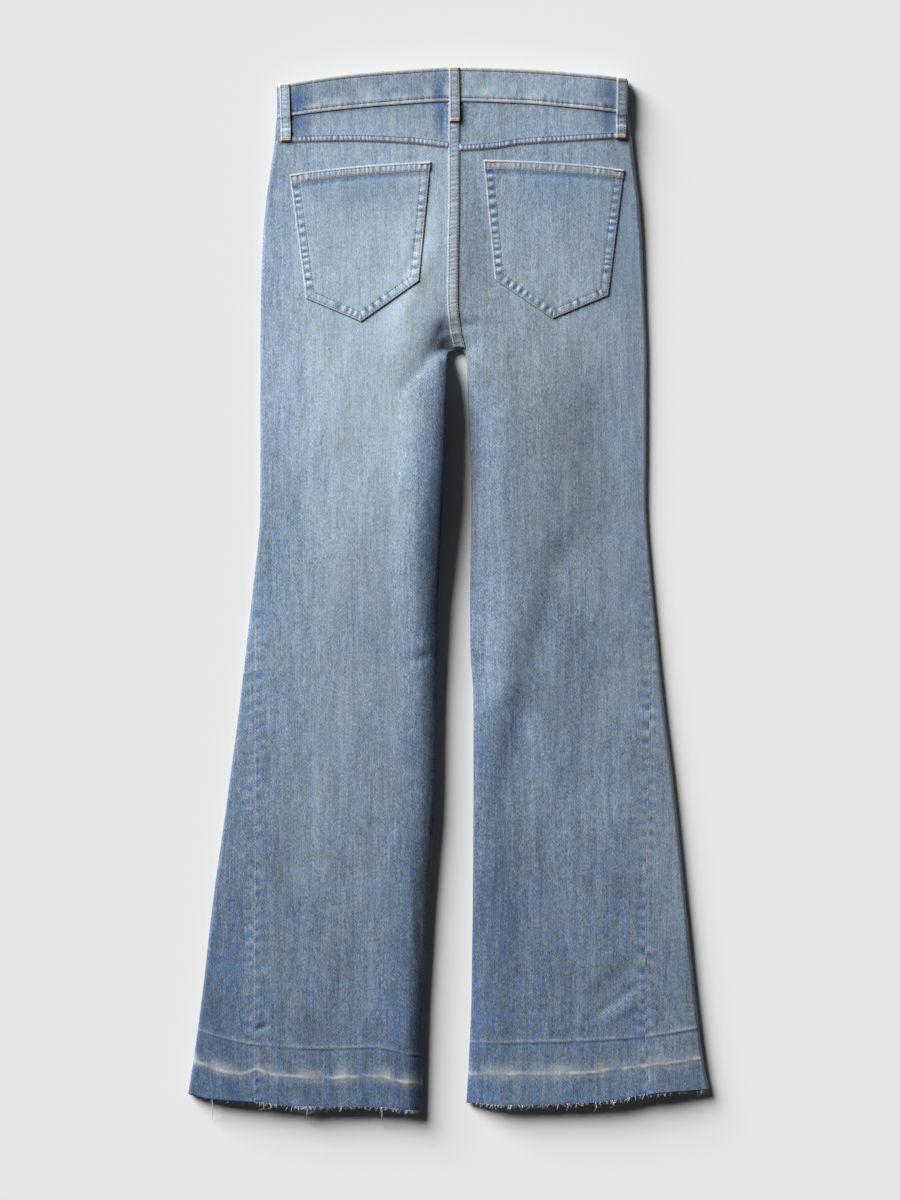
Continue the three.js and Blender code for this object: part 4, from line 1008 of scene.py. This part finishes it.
def stitches(points, outs, radius=THREAD_RADIUS, length=STITCH, gap=STITCH_GAP, lift=0.1):
    """A row of separate stitches along a line of points with directions out of the cloth."""
    steps = np.linalg.norm(np.diff(points, axis=0), axis=1)
    at = np.concatenate([[0], np.cumsum(steps)])
    count = int(at[-1] // (length + gap))
    begin = np.arange(count)[:, None] * (length + gap) + gap / 2
    place = begin + length * np.array(RING_AT)[None, :]

    def read(values):
        return np.stack([np.interp(place, at, values[:, i]) for i in range(3)], axis=-1)

    out = read(outs)
    rise = np.array([-0.16, lift, lift, -0.16])
    radii = radius * np.array([0.6, 1.0, 1.0, 0.6])[None, :] + 0 * place
    return tubes(read(points) + out * rise[:, None], out, radii)


class Threads:
    """Many threads of one colour that become one mesh."""

    def __init__(self):
        self.points, self.walls, self.caps, self.count = [], [], [], 0

    def add(self, made):
        points, walls, caps = made
        self.points.append(points)
        self.walls.append(walls + self.count)
        self.caps.append(caps + self.count)
        self.count += len(points)

    def build(self, name):
        faces = [np.concatenate(self.walls), np.concatenate(self.caps)]
        return new_object(name, np.concatenate(self.points), faces)


def surface_line(x, down, lift):
    """Points and directions out along a line on the upper layer, lifted by lift."""
    x, down = np.broadcast_arrays(np.asarray(x, float), np.asarray(down, float))
    step = 0.6
    z = top_level(x, down)
    dx = (top_level(x + step, down) - top_level(x - step, down)) / (2 * step)
    dd = (top_level(x, down + step) - top_level(x, down - step)) / (2 * step)
    out = np.stack([-dx, dd, np.ones(x.shape)], axis=-1)
    out /= np.linalg.norm(out, axis=-1, keepdims=True)
    return points_at(x, down, z) + np.array([0, 0, 1.0]) * np.asarray(lift)[..., None], out


def offset_line(points, inset):
    """A line of corners moved to its right-hand side, seen from above, by inset."""
    result = []
    for i, p in enumerate(points):
        directions = []
        if i > 0:
            directions.append((p - points[i - 1]) / np.linalg.norm(p - points[i - 1]))
        if i + 1 < len(points):
            directions.append((points[i + 1] - p) / np.linalg.norm(points[i + 1] - p))
        normals = [np.array([d[1], -d[0]]) for d in directions]
        total = sum(normals)
        result.append(p + total * inset * len(normals) / np.dot(total, total))
    return np.array(result)


def along_corners(corners, step=1.0):
    parts = []
    for a, b in zip(corners[:-1], corners[1:]):
        count = max(2, int(np.linalg.norm(b - a) / step))
        parts.append(a + (b - a) * np.linspace(0, 1, count, endpoint=False)[:, None])
    return np.concatenate([*parts, corners[-1:]])


def bar_tack(threads, centre, along, width, tall, lift):
    """A dense block of thread: strokes across, slanted one way and then the other."""
    along = np.asarray(along, float) / np.linalg.norm(along)
    across = np.array([-along[1], along[0]])
    strokes = int(width / 0.55)
    for i in range(strokes):
        slant = 0.3 * (1 if i % 2 else -1)
        at = centre + along * (-width / 2 + width * (i + 0.5) / strokes)
        ends = np.array([at - across * tall / 2 - along * slant, at + across * tall / 2 + along * slant])
        line = along_corners(ends, 0.5)
        points, out = surface_line(line[:, 0], line[:, 1], lift + 0 * line[:, 0])
        place = np.linspace(0, len(points) - 1, 4)
        centres = np.stack([np.interp(place, np.arange(len(points)), points[:, k]) for k in range(3)], axis=1)
        centres = centres + np.array([0, 0, 1.0]) * np.array([-0.1, 0.22, 0.22, -0.1])[:, None]
        threads.add(tubes(centres[None], np.broadcast_to(out[:1], (1, 4, 3)), np.full((1, 4), TACK_RADIUS)))


def topstitching():
    """Every row of topstitching, with the bar tacks, as joined meshes by colour."""
    pale, gold, seams = Threads(), Threads(), Threads()
    band_x = np.linspace(-186.5, 184, 700)
    for line, offset in ((waist_top, BAND_STITCH_TOP), (waist_seam, -BAND_STITCH_FOOT)):
        down = line(band_x) + offset
        points, out = surface_line(band_x, down, BAND_RAISE - 0.12 + 0 * band_x)
        pale.add(stitches(points, out))
    for side, way in SIDES.items():
        x = way * np.linspace(SEAT_LAP_WIDTH / 2 + 0.8, 186, 400)
        for row in (-LAP_STITCH, LAP_STITCH):
            across = row * YOKE_LAP_WIDTH / 2
            lift = (LAP_THICK + LAY_GAP) * lap_share(across)
            points, out = surface_line(x, yoke_seam(x) + across, lift - THREAD_SINK + 0 * x)
            pale.add(stitches(points, out))
        pocket_threads(side, pale, gold)
        seam_threads(side, seams)
    down = np.linspace(waist_seam(0.0) + 2, CROTCH - LAP_SHORT - 1, 500)
    for row in (-LAP_STITCH, LAP_STITCH):
        x = seat_seam(down) + row * SEAT_LAP_WIDTH / 2
        points, out = surface_line(x, down, LAP_THICK + LAY_GAP - THREAD_SINK + 0 * x)
        pale.add(stitches(points, out))
    for name in LOOPS:
        loop_threads(name, pale, gold)
    return pale, gold, seams


def pocket_threads(side, pale, gold):
    top_left, top_right, low_left, point, low_right = pocket_outline(side)
    corners = np.array([top_left, low_left, point, low_right, top_right])
    for inset in POCKET_STITCHES:
        line = along_corners(offset_line(corners, inset))
        share = (line[:, 0] - top_left[0]) / (top_right[0] - top_left[0])
        top_edge = top_left[1] + share * (top_right[1] - top_left[1])
        line = line[line[:, 1] > top_edge + (1.5 if inset < 5 else POCKET_HEM_HEIGHT)]
        lift = pocket_lift(side, line[:, 0], line[:, 1])[0]
        points, out = surface_line(line[:, 0], line[:, 1], lift)
        pale.add(stitches(points, out))
    width = top_right[0] - top_left[0]
    start = POCKET_STITCHES[0] / width
    for depth in POCKET_HEM_STITCHES:
        u = np.linspace(start, 1 - start, 300)
        x, down = pocket_place(side, u, 0 * u)
        down = down + depth
        lift = pocket_lift(side, x, down)[0]
        points, out = surface_line(x, down, lift)
        pale.add(stitches(points, out))
    for corner, inward in ((top_left, 1), (top_right, -1)):
        along = (top_right - top_left) * inward
        unit = along / np.linalg.norm(along)
        centre = corner + unit * 6.4 + np.array([0, 1.5])
        bar_tack(gold, centre, unit, 10.5, 1.9, POCKET_THICK + LAY_GAP + POCKET_HEM_RAISE)


def seam_threads(side, seams):
    """The straight row of stitches along a side seam."""
    way = SIDES[side]
    down = np.linspace(500, 1092, 1200)
    x = side_seam(side, down) - way * 1.4
    points, out = surface_line(x, down, -0.16 + 0 * x)
    seams.add(stitches(points, out, radius=SEAM_THREAD_RADIUS))


def loop_threads(name, pale, gold):
    top_x, _, foot, _ = LOOPS[name]
    down = np.linspace(waist_top(top_x) + 3.2, foot - 3.2, 200)
    centre, across, out, lift = loop_frame(name, down)
    for row in (-LOOP_STITCH / 2, LOOP_STITCH / 2):
        points = centre + across * row * LOOP_WIDTH + out * (lift + LOOP_THICK - THREAD_SINK)[:, None]
        pale.add(stitches(points, out))
    for at in (waist_top(top_x) + 2.4, foot - 2.4):
        for shift in (-0.75, 0.75):
            place = np.array([at + shift])
            centre, across, out, lift = loop_frame(name, place)
            base = centre[0] + out[0] * (lift[0] + LOOP_THICK + 0.05)
            strokes = 15
            for i in range(strokes):
                middle = base + across[0] * (-4.3 + 8.6 * i / (strokes - 1))
                tilt = 0.25 if i % 2 else -0.25
                ends = np.array([-0.75, -0.4, 0.4, 0.75])[:, None]
                line = middle + np.array([0, 1.0, 0]) * ends + across[0] * tilt * ends
                line = line + out[0] * np.array([-0.15, 0.12, 0.12, -0.15])[:, None]
                gold.add(tubes(line[None], np.broadcast_to(out[0], (1, 4, 3)), np.full((1, 4), TACK_RADIUS)))


# How thickly the raw edges are frayed along x, and their long loose threads: x, length, sway
FRAY_DENSITY = table("x density", [
    (-286, 0.1), (-250, 0.15), (-216, 0.15), (-209, 0.8), (-190, 0.7), (-183, 0.15), (-173, 0.3),
    (-166, 1), (-130, 0.9), (-124, 0.25), (-88, 0.3), (-80, 0.9), (-34, 1), (12, 0.5), (35, 1),
    (138, 0.9), (146, 0.4), (164, 1), (176, 0.9), (186, 0.3), (203, 1), (220, 0.9), (230, 0.4),
    (255, 0.5), (262, 1), (277, 0.8),
])
fray_density = curve(FRAY_DENSITY, "x", "density")
LOOSE_THREADS = {
    "left": [
        (-257, 24, 1.5), (-203, 9, 5), (-196, 7, 8), (-162, 8, -5), (-156, 19, 1), (-153, 10, 5),
        (-158, 7, -7), (-150, 8, 6), (-77, 21, 2.5), (-120, 6, 3), (-60, 5, -2),
    ],
    "right": [
        (60, 9, -2), (72, 6, 2), (150, 11, 3), (168, 9, 3.5), (172, 9, -3.5), (170, 7, 0.5),
        (186, 8, -3), (216, 6, 2), (262, 8, 2), (100, 7, -2), (120, 8, 2.5),
    ],
}
SHORT_THREADS = 150
WHITE_SHARE = 0.58


def fray_threads(side, seed):
    """The raw edge of a hem: short threads of white and blue yarn, tufts and long loose ones."""
    way = SIDES[side]
    random = np.random.default_rng(seed)
    white, blue = Threads(), Threads()
    start, end = inner[side](np.array(1104.0)) + way * 1.2, outer[side](np.array(1092.0)) - way * 1.2
    spread = np.linspace(start, end, 400)
    share = np.cumsum(fray_density(spread))
    even = (np.arange(SHORT_THREADS) + random.uniform(0.05, 0.95, SHORT_THREADS)) / SHORT_THREADS
    x = np.interp(even * share[-1], share, spread)
    up = np.array([0, 0, 1.0])
    t = np.linspace(0, 1, 6)[None, :]
    length = random.uniform(1.6, 4.0, SHORT_THREADS) + 3.2 * random.uniform(0, 1, SHORT_THREADS) ** 3
    slant = random.normal(0, 0.45, SHORT_THREADS)
    curl = random.normal(0, 0.8, SHORT_THREADS)
    drop = random.uniform(-0.22, 0.16, SHORT_THREADS)
    run = length[:, None] * t
    cx = x[:, None] + slant[:, None] * run + curl[:, None] * np.sin(2.6 * t) * run * 0.3
    cd = hem(x)[:, None] - 1.2 + run
    cz = top_level(x, hem(x) - 1)[:, None] - 0.35 + drop[:, None] * run
    centres = points_at(cx, cd, cz)
    radii = random.uniform(0.18, 0.3, SHORT_THREADS)[:, None] * (1 - 0.4 * t)
    outs = np.broadcast_to(up, centres.shape)
    is_white = random.uniform(0, 1, SHORT_THREADS) < WHITE_SHARE
    white.add(tubes(centres[is_white], outs[is_white], radii[is_white]))
    blue.add(tubes(centres[~is_white], outs[~is_white], radii[~is_white]))

    t = np.linspace(0, 1, 14)
    for thread_x, thread_length, sway in LOOSE_THREADS[side]:
        root = float(hem(thread_x))
        cx = thread_x + sway * np.sin(4 * t) * t + 0.5 * np.sin(9 * t)
        high = float(top_level(thread_x, root - 1)) - 0.4
        low = max(2.5, high - 0.6 * thread_length)
        cz = mix(high, low, smooth(t, 0.4, 1))
        centres = points_at(cx, root - 1.2 + thread_length * t, cz)
        white.add(tubes(centres[None], np.broadcast_to(up, centres.shape)[None], (0.34 - 0.12 * t)[None]))
    return white, blue


# Materials


def linear(red, green, blue):
    """A colour as the eye sees it, from 0 to 255, as the linear values that shaders take."""
    values = []
    for v in (red, green, blue):
        values.append(((v / 255 + 0.055) / 1.055) ** 2.4 if v > 10 else v / 255 / 12.92)
    return (*values, 1.0)


INDIGO = linear(60, 77, 102)
WASHED = linear(184, 203, 219)
WORN = linear(208, 206, 196)
BLUE_CAST = linear(68, 112, 172)
GREY_CAST = linear(166, 176, 152)

# Noises in the cloth's tone, and those in its hue: scale along x, y and z, detail, roughness, amount
GRAINS = {
    "slub": ((620, 26, 300), 3, 0.6, 0.55),
    "streak": ((150, 7, 90), 2, 0.5, 0.24),
    "grain": ((1250, 380, 900), 2, 0.7, 1.35),
    "mottle": ((150, 95, 120), 4, 0.65, 0.34),
}
CASTS = {
    "patches": ((60, 34, 60), 2, 0.5, 1.5),
    "cast": ((170, 130, 300), 1, 0.4, 2.2),
}
TWILL_AMOUNT = 0.10
SHADE_SLOPE = 0.855
SHADE_START = 0.15
SHADE_POWER = 1.4
BLUER_SHARE = 0.42
GREYER_SHARE = 0.36


class Nodes:
    """Short names for making and joining shader nodes."""

    def __init__(self, name):
        self.material = bpy.data.materials.new(name)
        self.material.use_nodes = True
        self.tree = self.material.node_tree
        self.shader = self.tree.nodes["Principled BSDF"]

    def link(self, source, target):
        if isinstance(source, bpy.types.NodeSocket):
            self.tree.links.new(source, target)
        else:
            target.default_value = source

    def maths(self, operation, a, b=0.0, clamp=False):
        node = self.tree.nodes.new("ShaderNodeMath")
        node.operation = operation
        node.use_clamp = clamp
        self.link(a, node.inputs[0])
        self.link(b, node.inputs[1])
        return node.outputs[0]

    def blend(self, share, a, b, how="MIX"):
        node = self.tree.nodes.new("ShaderNodeMix")
        node.data_type = "RGBA"
        node.blend_type = how
        self.link(share, node.inputs["Factor"])
        self.link(a, node.inputs[6])
        self.link(b, node.inputs[7])
        return node.outputs[2]

    def place(self, scale, turn=0.0):
        """The place on the object, in units of 1 over scale metres."""
        where = self.tree.nodes.new("ShaderNodeTexCoord")
        mapping = self.tree.nodes.new("ShaderNodeMapping")
        mapping.inputs["Scale"].default_value = scale
        mapping.inputs["Rotation"].default_value = (0, 0, turn)
        self.tree.links.new(where.outputs["Object"], mapping.inputs["Vector"])
        return mapping.outputs["Vector"]

    def noise(self, vector, detail=2.0, roughness=0.5):
        node = self.tree.nodes.new("ShaderNodeTexNoise")
        node.inputs["Scale"].default_value = 1.0
        node.inputs["Detail"].default_value = detail
        node.inputs["Roughness"].default_value = roughness
        self.tree.links.new(vector, node.inputs["Vector"])
        return node.outputs["Fac"]

    def bump(self, height, distance, strength):
        node = self.tree.nodes.new("ShaderNodeBump")
        node.inputs["Strength"].default_value = strength
        node.inputs["Distance"].default_value = distance
        self.link(height, node.inputs["Height"])
        self.tree.links.new(node.outputs["Normal"], self.shader.inputs["Normal"])


def denim():
    n = Nodes("washed_denim")
    wash_and_shade = n.tree.nodes.new("ShaderNodeAttribute")
    wash_and_shade.attribute_name = "wash_and_shade"
    parts = n.tree.nodes.new("ShaderNodeSeparateColor")
    n.tree.links.new(wash_and_shade.outputs["Color"], parts.inputs[0])
    tone, blue, wear = parts.outputs

    noise = {
        name: n.noise(n.place(scale), detail, roughness)
        for name, (scale, detail, roughness, _) in {**GRAINS, **CASTS}.items()
    }
    twill = n.tree.nodes.new("ShaderNodeTexWave")
    twill.bands_direction = "DIAGONAL"
    twill.inputs["Scale"].default_value = 1.0
    twill.inputs["Distortion"].default_value = 1.6
    twill.inputs["Detail"].default_value = 1.0
    n.tree.links.new(n.place((180, 180, 0)), twill.inputs["Vector"])
    twill = twill.outputs["Fac"]

    def centred(value, amount):
        return n.maths("MULTIPLY", n.maths("SUBTRACT", value, 0.5), amount)

    shade = tone
    for name, (*_, amount) in GRAINS.items():
        shade = n.maths("ADD", shade, centred(noise[name], amount))
    shade = n.maths("ADD", shade, centred(twill, TWILL_AMOUNT))
    shade = n.maths("ADD", n.maths("MULTIPLY", shade, SHADE_SLOPE), SHADE_START, clamp=True)
    shade = n.maths("POWER", shade, SHADE_POWER)
    colour = n.blend(shade, INDIGO, WASHED)
    casts = [centred(noise[name], amount) for name, (*_, amount) in CASTS.items()]
    hue = n.maths("ADD", blue, n.maths("ADD", *casts))
    bluer = n.maths("MULTIPLY", n.maths("MAXIMUM", hue, 0.0), BLUER_SHARE, clamp=True)
    other_way = n.maths("MULTIPLY", hue, -1.0)
    greyer = n.maths("MULTIPLY", n.maths("MAXIMUM", other_way, 0.0), GREYER_SHARE, clamp=True)
    colour = n.blend(bluer, colour, n.blend(shade, BLUE_CAST, WASHED))
    colour = n.blend(greyer, colour, n.blend(shade, INDIGO, GREY_CAST))
    rubbed = n.maths("ADD", n.maths("MULTIPLY", noise["grain"], 0.9), 0.45)
    worn = n.maths("MULTIPLY", wear, rubbed, clamp=True)
    colour = n.blend(worn, colour, WORN)
    n.link(colour, n.shader.inputs["Base Color"])
    n.shader.inputs["Roughness"].default_value = 0.92
    n.shader.inputs["Specular IOR Level"].default_value = 0.18
    n.shader.inputs["Sheen Weight"].default_value = 0.12
    n.shader.inputs["Sheen Roughness"].default_value = 0.5
    threads_up = n.maths("MULTIPLY", noise["slub"], 0.6)
    relief_sum = n.maths("ADD", threads_up, n.maths("MULTIPLY", noise["grain"], 0.5))
    relief_sum = n.maths("ADD", relief_sum, n.maths("MULTIPLY", twill, 0.35))
    n.bump(relief_sum, 0.0005, 0.55)
    return n.material


def thread(name, colour, shadow, roughness=0.7):
    n = Nodes(name)
    ply = n.noise(n.place((1400, 1400, 1400)), 2, 0.6)
    n.link(n.blend(ply, shadow, colour), n.shader.inputs["Base Color"])
    n.shader.inputs["Roughness"].default_value = roughness
    n.shader.inputs["Sheen Weight"].default_value = 0.2
    n.bump(ply, 0.0002, 0.4)
    return n.material


def metal():
    n = Nodes("antique_brass")
    patina = n.noise(n.place((260, 260, 260)), 4, 0.6)
    n.link(n.blend(patina, linear(92, 70, 44), linear(176, 142, 92)), n.shader.inputs["Base Color"])
    n.shader.inputs["Metallic"].default_value = 1.0
    n.link(n.maths("ADD", n.maths("MULTIPLY", patina, 0.3), 0.25), n.shader.inputs["Roughness"])
    n.bump(patina, 0.0003, 0.3)
    return n.material


def floor_material():
    n = Nodes("floor")
    n.shader.inputs["Base Color"].default_value = (0.80, 0.80, 0.80, 1)
    n.shader.inputs["Roughness"].default_value = 1.0
    n.shader.inputs["Specular IOR Level"].default_value = 0.0
    return n.material


# Making the pieces


def add_cloth(name, made, thick, sign, material):
    """A cloth piece that stands for the solid of the same name."""
    points, wash_and_shade = made
    piece = shell(name + "_cloth", points, thick, sign, wash_and_shade)
    piece.data.materials.append(material)
    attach(piece, "root")
    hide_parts(name)
    return piece


def add_threads(threads, name, material):
    piece = threads.build(name)
    piece.data.materials.append(material)
    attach(piece, "root")
    return piece


def side_pieces(side):
    """Cloth pieces of a side: maker, thickness, way of the grid, flat size and what is under each."""
    way = SIDES[side]
    lap_thick = LAP_THICK * lap_share(YOKE_LAP_ACROSS)
    return {
        "back": (back_panel, CLOTH, -way, (262, 1040), ["front"]),
        "front": (front_panel, CLOTH, way, (340, 1060), []),
        "yoke": (yoke_panel, CLOTH, -way, (195, 50), ["front"]),
        "yoke_lap": (yoke_lap, lap_thick, -way, (186, 10), ["yoke"]),
        "pocket": (pocket, POCKET_THICK, -1, (156, 172), ["back"]),
        "waistband_front": (waistband_front, BAND_CLOTH, way, (228, 44), []),
    }


def build():
    cloth = denim()
    pale_thread = thread("pale_thread", linear(128, 118, 104), linear(76, 72, 68))
    gold_thread = thread("gold_thread", linear(222, 200, 166), linear(180, 156, 124))
    white_yarn = thread("white_yarn", linear(226, 224, 218), linear(176, 180, 184), 0.9)
    blue_yarn = thread("blue_yarn", linear(118, 140, 168), linear(70, 88, 116), 0.9)
    for side in SIDES:
        for name, (make, thick, sign, flat, below) in side_pieces(side).items():
            add_cloth(f"{name}_{side}", make(side), thick, sign, cloth)
    add_cloth("waistband_back", waistband_back(), BAND_CLOTH, -1, cloth)
    add_cloth("seat_lap", seat_lap(), LAP_THICK, -1, cloth)
    for name in LOOPS:
        add_cloth(name, belt_loop(name), LOOP_THICK, -1, cloth)
    pale, gold, seams = topstitching()
    add_threads(pale, "topstitching", pale_thread)
    add_threads(gold, "bar_tacks", gold_thread)
    add_threads(seams, "side_seam_thread", white_yarn)
    for side, seed in (("left", 201), ("right", 231)):
        white, blue = fray_threads(side, seed)
        fringe = add_threads(white, f"raw_edge_{side}", white_yarn)
        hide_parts(f"fray_{side}")
        add_threads(blue, f"raw_edge_blue_{side}", blue_yarn)
    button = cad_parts["button"]
    button.data.materials.clear()
    button.data.materials.append(metal())


SUN_FROM = (-1.7, 1.65, 1.0)
SUN_ENERGY = 7.75
SUN_ANGLE = 34
WORLD_STRENGTH = 0.028
PHOTO_MIDDLE = (-4.2, 565.0, 15.0)
PHOTO_HEIGHT = 1.272
CAMERA_SENSOR = 36
CAMERA_AWAY = 3.2


def look():
    """Floor, light and the camera straight above, framed as the photograph is."""
    scene = bpy.context.scene
    bpy.ops.mesh.primitive_plane_add(size=14, location=(0, 0, -0.0006))
    floor = bpy.context.object
    floor.name = "floor"
    floor.data.materials.append(floor_material())

    sun = bpy.data.lights.new("key", "SUN")
    sun.energy = SUN_ENERGY
    sun.angle = math.radians(SUN_ANGLE)
    key = bpy.data.objects.new("key", sun)
    key.rotation_euler = Vector(SUN_FROM).to_track_quat("Z", "Y").to_euler()
    scene.collection.objects.link(key)

    world = bpy.data.worlds.new("studio")
    world.use_nodes = True
    world.node_tree.nodes["Background"].inputs["Color"].default_value = (1, 1, 1, 1)
    world.node_tree.nodes["Background"].inputs["Strength"].default_value = WORLD_STRENGTH
    scene.world = world

    photo_centre = to_frame(points_at(*PHOTO_MIDDLE))
    camera = bpy.data.cameras.new("camera")
    camera.sensor_width = CAMERA_SENSOR
    camera.lens = CAMERA_SENSOR * CAMERA_AWAY / PHOTO_HEIGHT
    camera.clip_end = 50
    view = bpy.data.objects.new("camera", camera)
    view.location = (photo_centre[0], photo_centre[1], photo_centre[2] + CAMERA_AWAY)
    scene.collection.objects.link(view)
    scene.camera = view
    scene.view_settings.view_transform = "Standard"


build()
look()
